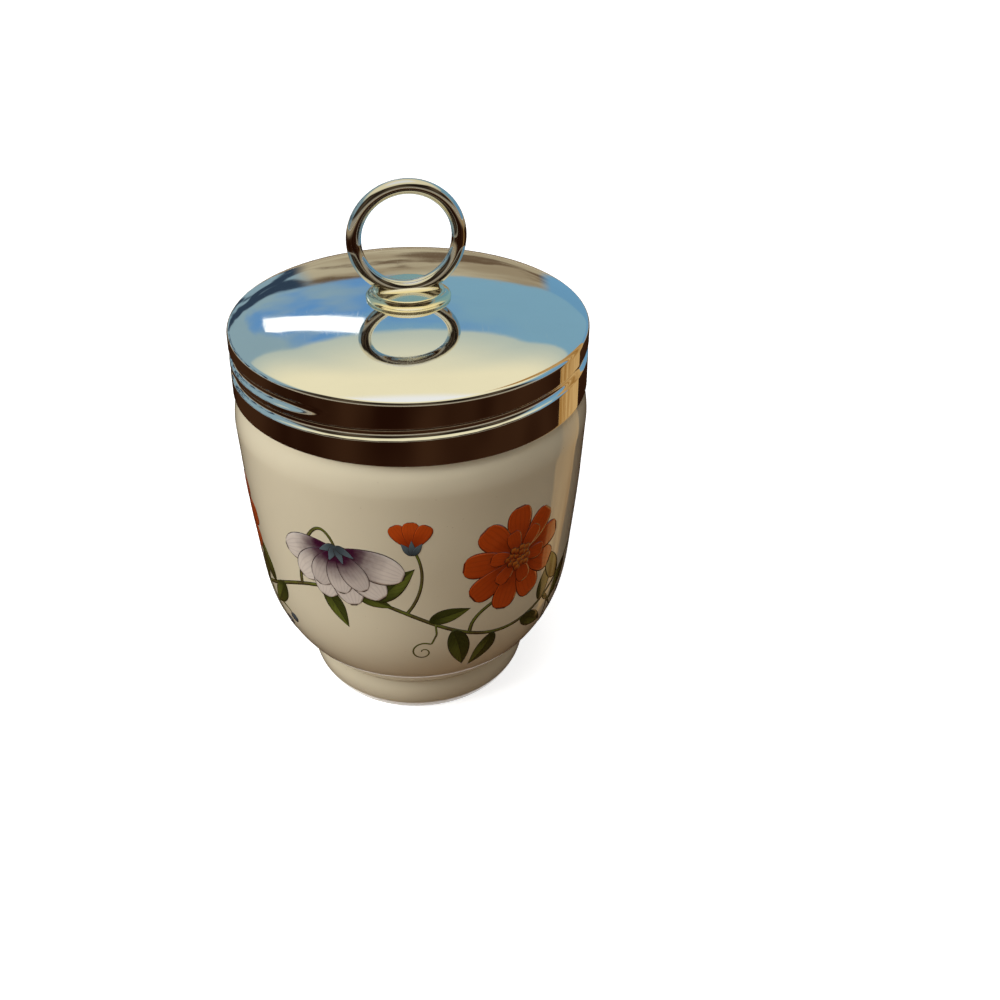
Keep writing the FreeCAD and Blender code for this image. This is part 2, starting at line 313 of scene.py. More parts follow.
def thinned(points, widest, bend=6.0):
    """Fewer points, close together only where the outline bends."""
    steps = np.diff(points, axis=0)
    slopes = np.unwrap(np.arctan2(steps[:, 1], steps[:, 0]))
    turning = np.abs(np.concatenate(([0], np.diff(slopes))))
    load = np.linalg.norm(steps, axis=1) / widest + turning / math.radians(bend)
    total = np.concatenate(([0], np.cumsum(load)))
    where = np.linspace(0, total[-1], int(total[-1]) + 2)
    return np.column_stack([np.interp(where, total, points[:, k]) for k in range(2)])


def is_inside_out(outline):
    """True where the outline runs down on the outside of the piece."""
    r, z = outline[:, 0], outline[:, 1]
    return float(np.sum(r * np.roll(z, -1) - np.roll(r, -1) * z)) < 0


def turned(name, outline, segments, radii=None, heights=None):
    """A smooth closed mesh made by turning the outline. radii and heights may differ at each azimuth."""
    azimuths = np.linspace(0, 2 * math.pi, segments, endpoint=False)
    radii = np.repeat(outline[:, :1], segments, axis=1) if radii is None else radii
    heights = np.repeat(outline[:, 1:], segments, axis=1) if heights is None else heights
    poles = outline[:, 0] < ON_AXIS
    rows, vertices = [], []
    for i, pole in enumerate(poles):
        first = len(vertices)
        if pole:
            rows.append([first] * segments)
            vertices.append((0.0, 0.0, float(heights[i, 0])))
            continue
        rows.append(list(range(first, first + segments)))
        for j in range(segments):
            x, y = radii[i, j] * math.cos(azimuths[j]), radii[i, j] * math.sin(azimuths[j])
            vertices.append((x, y, float(heights[i, j])))
    pairs = list(zip(rows, rows[1:]))
    if not (poles[0] and poles[-1]):
        pairs.append((rows[-1], rows[0]))
    order = -1 if is_inside_out(outline) else 1
    faces = []
    for low, high in pairs:
        for j in range(segments):
            k = (j + 1) % segments
            corners = dict.fromkeys((low[j], low[k], high[k], high[j]))
            faces.append(list(corners)[::order])
    return smooth_mesh(name, vertices, faces)


def smooth_mesh(name, vertices, faces):
    """A mesh with smooth shading."""
    mesh = bpy.data.meshes.new(name)
    mesh.from_pydata(vertices, [], faces)
    mesh.polygons.foreach_set("use_smooth", [True] * len(mesh.polygons))
    mesh.update()
    return mesh


def linked(name, data):
    """An object in the scene that holds the data."""
    thing = bpy.data.objects.new(name, data)
    bpy.context.scene.collection.objects.link(thing)
    return thing


def piece(mesh, material, body, slot, *nodes):
    """Shows a finished mesh as a piece that rides on a body and may stand for CAD nodes."""
    mesh.materials.clear()
    mesh.materials.append(material)
    thing = linked(mesh.name, mesh)
    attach(thing, body)
    if nodes:
        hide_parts(*nodes)
    return thing


# The thread: round bars that climb the neck and the skirt


def thread_bars(azimuths, heights, centre, section, level, lead, span, shift):
    """Distance of the bars' inner and outer faces from the axis on a grid, or nan where no bar is."""
    first, last = span
    inner = np.full((len(heights), len(azimuths)), np.nan)
    outer = inner.copy()
    for start in range(THREAD_STARTS):
        for lap in (-1, 0, 1, 2):
            turn = azimuths - 360.0 * start / THREAD_STARTS + 360.0 * lap
            to_end = np.minimum(turn - first, last - turn)
            share = np.clip(1 - to_end / RUN_OUT, 0, 1)
            middle = centre + shift * share ** 2 * (3 - 2 * share)
            drop = heights[:, None] - (level + lead * (turn - FRONT) / 360)[None, :]
            inside = (np.abs(drop) < section) & (to_end >= 0)[None, :]
            half = np.sqrt(np.where(inside, section ** 2 - drop ** 2, 0))
            inner = np.where(inside, np.fmin(inner, middle - half), inner)
            outer = np.where(inside, np.fmax(outer, middle + half), outer)
    return inner, outer


def soft_least(a, b, reach):
    """The smaller of two radii, with a soft passage between them."""
    b = np.where(np.isnan(b), a + 10 * reach, b)
    share = np.clip(0.5 + 0.5 * (b - a) / reach, 0, 1)
    return b * (1 - share) + a * share - reach * share * (1 - share)


def azimuths_of(segments):
    """The azimuth of each facet's edge, in degrees."""
    return np.degrees(np.linspace(0, 2 * math.pi, segments, endpoint=False))


# Finishes


class Finish:
    """A material's nodes, with short ways to add and join them."""

    def __init__(self, name, **shader_values):
        self.material = bpy.data.materials.new(name)
        self.material.use_nodes = True
        self.tree = self.material.node_tree
        self.shader = self.tree.nodes["Principled BSDF"]
        for socket, value in shader_values.items():
            self.shader.inputs[socket.replace("_", " ").title().replace("Ior", "IOR")].default_value = value

    def add(self, kind, **settings):
        """A new node with its settings."""
        node = self.tree.nodes.new(kind)
        for name, value in settings.items():
            setattr(node, name, value)
        return node

    def give(self, socket, value):
        """Sets a socket, or joins it to another node's output."""
        if isinstance(value, bpy.types.NodeSocket):
            self.tree.links.new(value, socket)
        elif socket.type == "RGBA":
            socket.default_value = (*value, 1.0)
        else:
            socket.default_value = value

    def maths(self, operation, *values, clamp=False):
        """Arithmetic on numbers or outputs."""
        node = self.add("ShaderNodeMath", operation=operation, use_clamp=clamp)
        for socket, value in zip(node.inputs, values):
            self.give(socket, value)
        return node.outputs[0]

    def mix(self, share, first, second):
        """A colour between two, by the share of the second."""
        node = self.add("ShaderNodeMix", data_type="RGBA")
        self.give(node.inputs["Factor"], share)
        self.give(node.inputs[6], first)
        self.give(node.inputs[7], second)
        return node.outputs[2]

    def step(self, value, low, high, to_low=0.0, to_high=1.0):
        """Runs smoothly from one value to another while the input runs from low to high."""
        node = self.add("ShaderNodeMapRange", interpolation_type="SMOOTHSTEP")
        for socket, number in zip(node.inputs, (value, low, high, to_low, to_high)):
            self.give(socket, number)
        return node.outputs[0]

    def place(self):
        """The point's place in the object's own frame."""
        return self.add("ShaderNodeTexCoord").outputs["Object"]

    def motif_place(self):
        """The point's place on its motif, from 0 to 1: across it, off its middle line, and up it."""
        uv = self.add("ShaderNodeUVMap", uv_map="motif").outputs[0]
        across = self.axis(uv, "X")
        off_middle = self.maths("ABSOLUTE", self.maths("MULTIPLY_ADD", across, 2.0, -1.0))
        return across, off_middle, self.axis(uv, "Y")

    def stretched(self, place, scale):
        """The place, scaled along each axis."""
        node = self.add("ShaderNodeMapping")
        self.give(node.inputs["Vector"], place)
        node.inputs["Scale"].default_value = scale
        return node.outputs[0]

    def noise(self, place, scale, detail=2.0, roughness=0.5):
        """Noise with this many waves in a metre."""
        node = self.add("ShaderNodeTexNoise")
        self.give(node.inputs["Vector"], place)
        node.inputs["Scale"].default_value = scale
        node.inputs["Detail"].default_value = detail
        node.inputs["Roughness"].default_value = roughness
        return node.outputs["Fac"]

    def axis(self, place, name):
        """One coordinate of the place."""
        node = self.add("ShaderNodeSeparateXYZ")
        self.give(node.inputs[0], place)
        return node.outputs[name]

    def bump(self, height, distance, strength=1.0):
        """Relief of the surface, at most the distance high."""
        node = self.add("ShaderNodeBump")
        node.inputs["Strength"].default_value = strength
        node.inputs["Distance"].default_value = distance
        self.give(node.inputs["Height"], height)
        self.give(self.shader.inputs["Normal"], node.outputs[0])

    def base(self, value):
        """Sets the base colour."""
        self.give(self.shader.inputs["Base Color"], value)

    def rough(self, value):
        """Sets the roughness."""
        self.give(self.shader.inputs["Roughness"], value)


def glaze_finish(colours, sizes):
    """Ivory glaze with faint clouds and specks, darkened at the foot's crease as painted shade, and bare
    where the foot stands.
    """
    f = Finish("ivory_glaze", coat_weight=0.5, coat_roughness=0.02, ior=1.5)
    place = f.place()
    height = f.axis(place, "Z")
    clouds = f.step(f.noise(place, 38.0, 3.0), 0.35, 0.7, 0.0, 0.28)
    glaze = f.mix(clouds, colours.glaze, colours.glaze_cloud_and_crease_shade)
    # Painted shade: the glaze is darkened in a band about the crease between foot and bowl, where the
    # bowl's shade falls
    above = f.maths("ABSOLUTE", f.maths("SUBTRACT", height, sizes.foot_height))
    crease_shade = f.step(above, 0.0, 2.2 * MM, 0.55, 0.0)
    glaze = f.mix(crease_shade, glaze, colours.glaze_cloud_and_crease_shade)
    specks = f.step(f.noise(place, 2600.0, 0.0), 0.86, 0.9, 0.0, 0.35)
    glaze = f.mix(specks, glaze, display(150, 130, 100))
    bare = f.step(height, 0.12 * MM, 0.45 * MM, 1.0, 0.0)
    grain = f.step(f.noise(place, 1800.0, 3.0), 0.3, 0.7, 0.85, 1.0)
    biscuit = f.mix(grain, display(170, 158, 136), colours.biscuit)
    f.base(f.mix(bare, glaze, biscuit))
    polish = f.step(f.noise(place, 120.0, 2.0), 0.3, 0.8, 0.06, 0.13)
    f.rough(f.maths("ADD", polish, f.maths("MULTIPLY", bare, 0.7), clamp=True))
    f.bump(f.noise(place, 260.0, 1.0), 0.02 * MM, 0.5)
    return f.material


def metal_finish(name, tint, low, high, dents):
    """Polished metal with faint smudges, hair scratches and shallow dents."""
    f = Finish(name, metallic=1.0)
    place = f.place()
    smudge = f.noise(f.stretched(place, (1.0, 2.2, 1.0)), 70.0, 4.0, 0.6)
    scratch = f.step(f.noise(f.stretched(place, (1.0, 0.04, 0.3)), 5200.0, 1.0), 0.66, 0.74, 0.0, 0.05)
    f.base(f.mix(f.step(smudge, 0.3, 0.75, 0.0, 0.12), tint, tuple(0.8 * value for value in tint)))
    f.rough(f.maths("ADD", f.step(smudge, 0.35, 0.75, low, high), scratch))
    ripples = f.maths("MULTIPLY", f.noise(place, 420.0, 1.0), 0.25)
    f.bump(f.maths("MULTIPLY_ADD", f.noise(place, 95.0, 1.0), 0.75, ripples), dents, 1.0)
    return f.material


def brushed_finish(name, tint):
    """Plain metal with fine lines along it."""
    f = Finish(name, metallic=1.0)
    place = f.place()
    brush = f.noise(f.stretched(place, (1.0, 0.05, 1.0)), 2600.0, 2.0)
    f.base(f.mix(f.step(brush, 0.3, 0.7, 0.0, 0.25), tint, tuple(0.7 * value for value in tint)))
    f.rough(f.step(brush, 0.25, 0.75, 0.25, 0.42))
    f.bump(brush, 0.01 * MM, 0.4)
    return f.material


def paint_finish(name, deep, bright, outline, spread, veins, vein_strength, rim, halves=0.0):
    """Enamel that runs from deep to bright up its motif, with veins, a drawn rim and maybe a dark half."""
    f = Finish(name, coat_weight=0.5, coat_roughness=0.02)
    across, off_middle, up = f.motif_place()
    tint = f.add("ShaderNodeAttribute", attribute_name="tint").outputs["Fac"]
    wash = f.noise(f.place(), 420.0, 3.0)
    share = f.step(f.maths("ADD", up, f.maths("MULTIPLY_ADD", wash, 0.3, -0.15)), spread[0], spread[1])
    hue = f.mix(share, deep, bright)
    blurred = f.maths("ADD", off_middle, f.maths("MULTIPLY", wash, 0.16))
    rays = f.maths("SINE", f.maths("MULTIPLY", blurred, veins))
    vein = f.maths("MULTIPLY", f.step(rays, 0.25, 1.0), vein_strength)
    hue = f.mix(vein, hue, deep)
    if halves:
        hue = f.mix(f.step(across, 0.47, 0.53, halves, 0.0), hue, deep)
        slant = f.maths("SUBTRACT", up, f.maths("MULTIPLY", off_middle, 0.3))
        side_veins = f.maths("SINE", f.maths("MULTIPLY", slant, 44.0))
        hue = f.mix(f.step(side_veins, 0.82, 0.98, 0.0, 0.45), hue, deep)
        hue = f.mix(f.step(off_middle, 0.03, 0.09, 0.8, 0.0), hue, deep)
    hue = f.mix(f.maths("MULTIPLY", tint, 0.35), hue, deep)
    to_side = f.maths("SUBTRACT", 1.0, off_middle)
    to_tip = f.maths("MULTIPLY", f.maths("SUBTRACT", 1.0, up), 2.0)
    to_rim = f.maths("MINIMUM", to_side, to_tip)
    f.base(f.mix(f.step(to_rim, rim * 0.6, rim, 0.92, 0.0), hue, outline))
    f.rough(f.step(wash, 0.3, 0.7, 0.1, 0.18))
    return f.material


def stem_finish(colours):
    """Enamel of the vine and stalks, darker along both sides."""
    f = Finish("stem_paint", coat_weight=0.5, coat_roughness=0.02)
    off_middle = f.motif_place()[1]
    wash = f.noise(f.place(), 300.0, 3.0)
    hue = f.mix(f.step(wash, 0.35, 0.65), colours.stem, colours.leaf)
    f.base(f.mix(f.step(off_middle, 0.45, 0.75, 0.0, 0.85), hue, colours.outline))
    f.rough(f.step(wash, 0.3, 0.7, 0.1, 0.18))
    return f.material


# The garland is drawn flat, in metres along and over the foot's crease, and then laid on the bowl

# Where a motif's mesh starts and ends, as shares of its length, so that neither end is a needle
MOTIF_ENDS = (0.012, 0.992)

# Shares of a repeat at which the flowers, the tendril and the berries leave the vine
BELL_FORK, BUD_FORK, TENDRIL_FORK, ROSETTE_FORK, BERRY_FORK = 0.12, 0.44, 0.52, 0.62, 0.9

# How far the berries hang from their fork, in millimetres to the right and up
BERRY_REACHES = ((6, -6.5), (9, -4.0), (4.5, -9.0))

# The leaves: share of a repeat, turn in degrees and size
LEAF_SPOTS = (
    (0.03, 150, 0.85), (0.2, 215, 0.8), (0.3, -100, 0.62), (0.36, -35, 0.9), (0.5, -70, 0.7),
    (0.57, -160, 0.95), (0.7, 160, 0.85), (0.8, -115, 0.8), (0.88, -10, 0.8), (0.97, 40, 0.9),
)

# The seeds in the eye of an orange flower, each turned by the golden angle from the one before
EYE_SEEDS = 19
GOLDEN_ANGLE = 137.5


def bowl_outline(cup):
    """The bowl's outer outline, from the top of the foot to its widest place."""
    inset = CUP_BOX[1].x - cup.bowl_radius
    return spline([
        (cup.foot_top_radius, cup.foot_height),
        (25.4 * MM - inset, 13.2 * MM),
        (28.5 * MM - inset, 19.8 * MM),
        (cup.bowl_radius - 1.95 * MM, 31.0 * MM),
        (cup.bowl_radius - 0.75 * MM, 44.5 * MM),
        (cup.bowl_radius, cup.widest_height),
    ])


def motif_mesh(name, length, width, base_power, tip_power, curl=0.0, rows=20, columns=10):
    """A flat petal, leaf or disc along +Y from the origin. The powers say how slim its base and tip are."""
    up = np.linspace(*MOTIF_ENDS, rows + 1)
    peak = base_power / (base_power + tip_power)
    fullest = peak ** base_power * (1 - peak) ** tip_power
    half = width / 2 * up ** base_power * (1 - up) ** tip_power / fullest
    across = np.linspace(-1, 1, columns + 1)
    vertices, faces = [], []
    for i in range(rows + 1):
        for c in across:
            vertices.append((half[i] * c + curl * length * up[i] ** 2, length * up[i], 0.0))
    for i in range(rows):
        for j in range(columns):
            first = i * (columns + 1) + j
            faces.append((first, first + 1, first + columns + 2, first + columns + 1))
    mesh = smooth_mesh(name, vertices, faces)
    uv = mesh.uv_layers.new(name="motif")
    for loop in mesh.loops:
        i, j = divmod(loop.vertex_index, columns + 1)
        uv.data[loop.index].uv = (j / columns, float(up[i]))
    return mesh


def ribbon_mesh(name, lines):
    """Flat painted lines. Each is a list of points with a width at its start and its end."""
    vertices, faces, marks = [], [], []
    for points, first_width, last_width in lines:
        points = even(np.array(points, float), 0.45 * MM)
        way = np.gradient(points, axis=0)
        way /= np.linalg.norm(way, axis=1)[:, None]
        side = np.column_stack((way[:, 1], -way[:, 0]))
        share = np.linspace(0, 1, len(points))
        width = first_width + (last_width - first_width) * share
        start = len(vertices)
        for i, point in enumerate(points):
            for c in (-0.5, 0.0, 0.5):
                x, y = point + side[i] * width[i] * c
                vertices.append((x, y, 0.0))
                marks.append((c + 0.5, float(share[i])))
        for i in range(len(points) - 1):
            for c in (0, 1):
                first = start + 3 * i + c
                faces.append((first, first + 1, first + 4, first + 3))
    mesh = smooth_mesh(name, vertices, faces)
    uv = mesh.uv_layers.new(name="motif")
    for loop in mesh.loops:
        uv.data[loop.index].uv = marks[loop.vertex_index]
    return mesh


def tree_of(name, inputs):
    """A node tree with named inputs, and a short way to add its nodes."""
    tree = bpy.data.node_groups.new(name, "GeometryNodeTree")
    sockets = {}
    for label, kind, default in inputs:
        sockets[label] = tree.interface.new_socket(label, in_out="INPUT", socket_type=kind)
        if default is not None:
            sockets[label].default_value = default
    tree.interface.new_socket("Geometry", in_out="OUTPUT", socket_type="NodeSocketGeometry")
    return tree, sockets


def nodes_of(tree, *kinds):
    """New nodes in the tree, one of each kind."""
    return [tree.nodes.new(kind) for kind in kinds]


def wired(tree, *joins):
    """Joins nodes: each row is a node and its output, then a node and its input, by name or number."""
    for giver, output, taker, socket in joins:
        tree.links.new(giver.outputs[output], taker.inputs[socket])


def laid_tree():
    """Lays a motif on every place, by the places' own turn and size, and keeps their tint."""
    tree, sockets = tree_of("laid_motifs", [
        ("Places", "NodeSocketGeometry", None),
        ("Motif", "NodeSocketObject", None),
        ("Overall size", "NodeSocketFloat", 1.0),
        ("Paint", "NodeSocketMaterial", None),
    ])
    given, motif, turn, size, spin, rotation, scale, place, real, paint, result = nodes_of(
        tree, "NodeGroupInput", "GeometryNodeObjectInfo", "GeometryNodeInputNamedAttribute",
        "GeometryNodeInputNamedAttribute", "ShaderNodeCombineXYZ", "FunctionNodeEulerToRotation",
        "ShaderNodeMath", "GeometryNodeInstanceOnPoints", "GeometryNodeRealizeInstances",
        "GeometryNodeSetMaterial", "NodeGroupOutput",
    )
    turn.inputs["Name"].default_value = "turn"
    size.inputs["Name"].default_value = "size"
    scale.operation = "MULTIPLY"
    wired(
        tree,
        (given, "Motif", motif, "Object"),
        (turn, "Attribute", spin, "Z"),
        (spin, 0, rotation, 0),
        (size, "Attribute", scale, 0),
        (given, "Overall size", scale, 1),
        (given, "Places", place, "Points"),
        (motif, "Geometry", place, "Instance"),
        (rotation, 0, place, "Rotation"),
        (scale, 0, place, "Scale"),
        (place, 0, real, 0),
        (real, 0, paint, "Geometry"),
        (given, "Paint", paint, "Material"),
        (paint, 0, result, 0),
    )
    return tree, sockets


def wire_ring_tree():
    """Sweeps round wire along a circle and stands the ring upright at its height and turn."""
    tree, sockets = tree_of("wire_ring", [
        ("Geometry", "NodeSocketGeometry", None),
        ("Mean radius", "NodeSocketFloat", 9.0 * MM),
        ("Wire radius", "NodeSocketFloat", 1.3 * MM),
        ("Middle height", "NodeSocketFloat", 0.0),
        ("Turn", "NodeSocketFloat", 0.0),
        ("Facets round", "NodeSocketInt", 176),
        ("Facets across", "NodeSocketInt", 48),
        ("Metal", "NodeSocketMaterial", None),
    ])
    given, path, wire, swept, smooth, lift, spin, upright, placed, real, metal, result = nodes_of(
        tree, "NodeGroupInput", "GeometryNodeCurvePrimitiveCircle", "GeometryNodeCurvePrimitiveCircle",
        "GeometryNodeCurveToMesh", "GeometryNodeSetShadeSmooth", "ShaderNodeCombineXYZ",
        "ShaderNodeCombineXYZ", "FunctionNodeEulerToRotation", "GeometryNodeTransform",
        "GeometryNodeRealizeInstances", "GeometryNodeSetMaterial", "NodeGroupOutput",
    )
    spin.inputs["X"].default_value = math.pi / 2
    wired(
        tree,
        (given, "Facets round", path, "Resolution"),
        (given, "Facets across", wire, "Resolution"),
        (given, "Mean radius", path, "Radius"),
        (given, "Wire radius", wire, "Radius"),
        (path, "Curve", swept, "Curve"),
        (wire, "Curve", swept, "Profile Curve"),
        (swept, 0, smooth, "Geometry"),
        (given, "Middle height", lift, "Z"),
        (given, "Turn", spin, "Z"),
        (spin, 0, upright, 0),
        (smooth, 0, placed, "Geometry"),
        (lift, 0, placed, "Translation"),
        (upright, 0, placed, "Rotation"),
        (placed, 0, real, 0),
        (real, 0, metal, "Geometry"),
        (given, "Metal", metal, "Material"),
        (metal, 0, result, 0),
    )
    return tree, sockets


def evaluated(thing, name):
    """The object's final mesh, as a mesh of its own. The object is removed."""
    graph = bpy.context.evaluated_depsgraph_get()
    mesh = bpy.data.meshes.new_from_object(thing.evaluated_get(graph))
    mesh.name = name
    thing.modifiers.clear()
    bpy.data.objects.remove(thing)
    return mesh


def grown(name, thing, tree, sockets, values):
    """The mesh that the tree makes on the object, with its named inputs set."""
    modifier = thing.modifiers.new("Grown", "NODES")
    modifier.node_group = tree
    for label, value in values.items():
        modifier[sockets[label].identifier] = value
    return evaluated(thing, name)


def laid(name, motif, places, paint):
    """A flat mesh with the motif at every place: along, up, lift, turn in degrees, size and tint."""
    rows = np.array(places, float)
    dots = bpy.data.meshes.new(name + "_places")
    dots.from_pydata([tuple(row[:3]) for row in rows], [], [])
    for label, values in (("turn", np.radians(rows[:, 3])), ("size", rows[:, 4]), ("tint", rows[:, 5])):
        dots.attributes.new(label, "FLOAT", "POINT").data.foreach_set("value", values)
    source = linked(name + "_motif", motif)
    thing = linked(name, dots)
    mesh = grown(name, thing, *laid_tree(), {"Motif": source, "Overall size": 1.0, "Paint": paint})
    bpy.data.objects.remove(source)
    return mesh


def merged(name, meshes):
    """Several flat meshes as one."""
    things = [linked(f"{name}_{i}", mesh) for i, mesh in enumerate(meshes)]
    with bpy.context.temp_override(active_object=things[0], selected_editable_objects=things):
        bpy.ops.object.join()
    mesh = things[0].data
    bpy.data.objects.remove(things[0])
    mesh.name = name
    return mesh


def on_bowl(mesh, cup, coat):
    """Lays a flat mesh on the bowl and gives it the paint's thickness, as a closed shell."""
    outline = even(bowl_outline(cup), 0.2 * MM)
    way = along(outline)
    slope = np.gradient(outline, axis=0)
    slope /= np.linalg.norm(slope, axis=1)[:, None]
    flat = np.zeros(len(mesh.vertices) * 3)
    mesh.vertices.foreach_get("co", flat)
    flat = flat.reshape(-1, 3)
    up = np.clip(flat[:, 1], 0, way[-1] + 3 * MM)
    r, z = (np.interp(up, way, outline[:, k]) for k in (0, 1))
    normal_r, normal_z = (np.interp(up, way, values) for values in (slope[:, 1], -slope[:, 0]))
    azimuth = math.radians(FRONT) + flat[:, 0] / cup.bowl_radius
    shells = []
    for lift in (flat[:, 2] + coat, np.full(len(flat), -0.5 * coat)):
        radius = r + normal_r * lift
        shells.append(np.column_stack((
            radius * np.cos(azimuth), radius * np.sin(azimuth), z + normal_z * lift,
        )))
    return closed_shell(mesh, *shells)


def closed_shell(mesh, top, under):
    """Gives a flat mesh a top and an underside, joined round every open edge."""
    count = len(top)
    faces = [list(p.vertices) for p in mesh.polygons]
    marks = mesh.uv_layers["motif"].data
    face_uvs = [[tuple(marks[k].uv) for k in p.loop_indices] for p in mesh.polygons]
    tints = None
    if "tint" in mesh.attributes:
        tints = np.zeros(len(mesh.vertices))
        mesh.attributes["tint"].data.foreach_get("value", tints)
    sides = {}
    for face, uvs in zip(faces, face_uvs):
        for i in range(len(face)):
            a, b = face[i], face[(i + 1) % len(face)]
            sides[(a, b)] = (uvs[i], uvs[(i + 1) % len(face)])
    new_faces = list(faces)
    new_uvs = list(face_uvs)
    for face, uvs in zip(faces, face_uvs):
        new_faces.append([v + count for v in reversed(face)])
        new_uvs.append(list(reversed(uvs)))
    covered = len(new_faces)
    for (a, b), (mark_a, mark_b) in sides.items():
        if (b, a) not in sides:
            new_faces.append([b, a, a + count, b + count])
            new_uvs.append([mark_b, mark_a, mark_a, mark_b])
    shell = smooth_mesh(mesh.name, np.concatenate((top, under)).tolist(), new_faces)
    shell.polygons.foreach_set("use_smooth", [k < covered for k in range(len(new_faces))])
    uv = shell.uv_layers.new(name="motif")
    uv.data.foreach_set("uv", np.array([c for face in new_uvs for mark in face for c in mark]))
    if tints is not None:
        both = np.concatenate((tints, tints))
        shell.attributes.new("tint", "FLOAT", "POINT").data.foreach_set("value", both)
    bpy.data.meshes.remove(mesh)
    return shell


def period_of(garland):
    """Length of one repeat, along the bowl's widest circle."""
    return 2 * math.pi * bpy.context.scene.coddler_cup.bowl_radius / garland.repeats


def vine_point(garland, start, share):
    """A point of the vine, at a share of the repeat that starts there."""
    swing = math.sin(2 * math.pi * share)
    return np.array((start + period_of(garland) * share, garland.vine_height + garland.vine_sway * swing))


def starts(garland):
    """Where each repeat of the garland begins, along the bowl."""
    return [garland.phase + period_of(garland) * k for k in range(garland.repeats)]


def fan(centre, lift, count, first, last, size, step, tints=(0.0, 0.5)):
    """Places of petals that spread from one point. Turns are counted from straight up, to the left."""
    places = []
    for i in range(count):
        share = i / max(1, count - 1)
        wobble = math.sin(12.9898 * i + 78.233 * count)
        turn = first + (last - first) * share + 4.0 * wobble
        tint = tints[0] + (tints[1] - tints[0]) * (0.5 + 0.5 * math.sin(4.7 * i))
        places.append((centre[0], centre[1], lift + i * step, turn, size * (1 + 0.06 * wobble), tint))
    return places


def rosette_centre(garland, start):
    """The middle of an orange flower, over its stretch of the vine."""
    return vine_point(garland, start, 0.75) + np.array((1.0 * MM, 16.5 * MM))


def bell_top(garland, start):
    """The top of a bellflower, where its petals meet the stalk."""
    return vine_point(garland, start, 0.24) + np.array((1.0 * MM, 9.5 * MM))


def curve(*points):
    """A stalk's line through the points."""
    return spline(points, count=60)


def garland_groups(context):
    """The garland's sizes, the cup's and the colours."""
    scene = context.scene
    return scene.coddler_print, scene.coddler_cup, scene.coddler_colours


def painted(flat, paint, cup, garland):
    """Shows a flat painted mesh as a piece of the garland on the cup."""
    piece(on_bowl(flat, cup, garland.coat), paint, "cup", "porcelain")


def ring_turn(cap):
    """Azimuth of the upright ring's plane."""
    return math.atan2(RING_BOX[1].y - cap.ring_wire, RING_BOX[1].x - cap.ring_wire)


class CODDLER_OT_cup(bpy.types.Operator):
    """Makes the porcelain cup with its foot, bowl, threaded neck and lip"""

    bl_idname = "coddler.make_cup"
    bl_label = "Make the cup"

    def execute(self, context):
        cup, cap = context.scene.coddler_cup, context.scene.coddler_cap
        top = CUP_BOX[1].z
        ring_inner = cup.foot_edge_radius - cup.ground_ring_width
        bore, bore_low = cup.neck_radius - cup.neck_wall, top - cup.neck_depth
        half = cup.neck_wall / 2
        rise = math.asin(cup.shoulder_rise / cup.shoulder_radius)
        centre = (cup.bowl_radius - cup.shoulder_radius, cup.widest_height)
        shoulder = arc(centre, cup.shoulder_radius, 90, 90 - math.degrees(rise), 30)
        ledge = shoulder[-1][0] - cup.neck_radius
        corner = arc((cup.neck_radius, shoulder[-1][1]), ledge, 90, 0, 12)
        neck_low = (cup.neck_radius, shoulder[-1][1] + ledge + 1.2 * MM)
        neck_high = (cup.neck_radius, top - half - 0.6 * MM)
        recess = [
            (0, cup.recess_depth), (ring_inner - cup.recess_slope, cup.recess_depth), (ring_inner, 0),
            (cup.foot_edge_radius, 0),
        ]
        foot = arc_through(
            (cup.foot_edge_radius, 0), (cup.foot_bulge_radius, cup.foot_bulge_height),
            (cup.foot_top_radius, cup.foot_height),
        )
        bowl = bowl_outline(cup)
        outside = joined(recess, foot, bowl, shoulder, corner, [neck_low])
        tangent = np.gradient(bowl, axis=0)
        tangent /= np.linalg.norm(tangent, axis=1)[:, None]
        inwards = np.column_stack((-tangent[:, 1], tangent[:, 0]))
        guides = [bowl[i] + cup.wall * inwards[i] for i in (40, 80, 120, 160)]
        floor = cup.foot_height + cup.floor_thickness
        cavity = spline([(cup.floor_flat_radius, floor), *guides, (bore, bore_low)], (1, 0), (0, 1))
        lip = arc((cup.neck_radius - half, top - half), half, 90, -90, 40)
        inside = joined([neck_high], lip, [(bore, bore_low)], cavity[::-1], [(0, floor)])
        outside = thinned(softened(outside, cup.softness), 1.3 * MM)
        inside = thinned(softened(inside, cup.softness), 1.8 * MM)
        neck = even(np.array([neck_low, neck_high]), 0.16 * MM)
        outline = joined(outside, neck, inside)
        outline[0, 0] = outline[-1, 0] = 0.0
        # The neck's threads lie midway between the cap's grooves
        level = cap.skirt_bottom + cap.groove_height + cap.thread_lead / 4
        crest = cup.neck_radius + cup.ridge_height
        bars = thread_bars(
            azimuths_of(cup.segments), outline[:, 1], crest - cup.ridge_curve, cup.ridge_curve, level,
            cap.thread_lead, NECK_THREAD, -2.2 * cup.ridge_height,
        )[1]
        radii = np.repeat(outline[:, :1], cup.segments, axis=1)
        raised = -soft_least(-radii, -bars, 0.3 * MM)
        near = 1e-6
        on_neck = (np.abs(outline[:, 0] - cup.neck_radius) < near)[:, None]
        mesh = turned("cup_porcelain", outline, cup.segments, np.where(on_neck, raised, radii))
        piece(mesh, glaze_finish(context.scene.coddler_colours, cup), "cup", "porcelain", "cup")
        return {"FINISHED"}


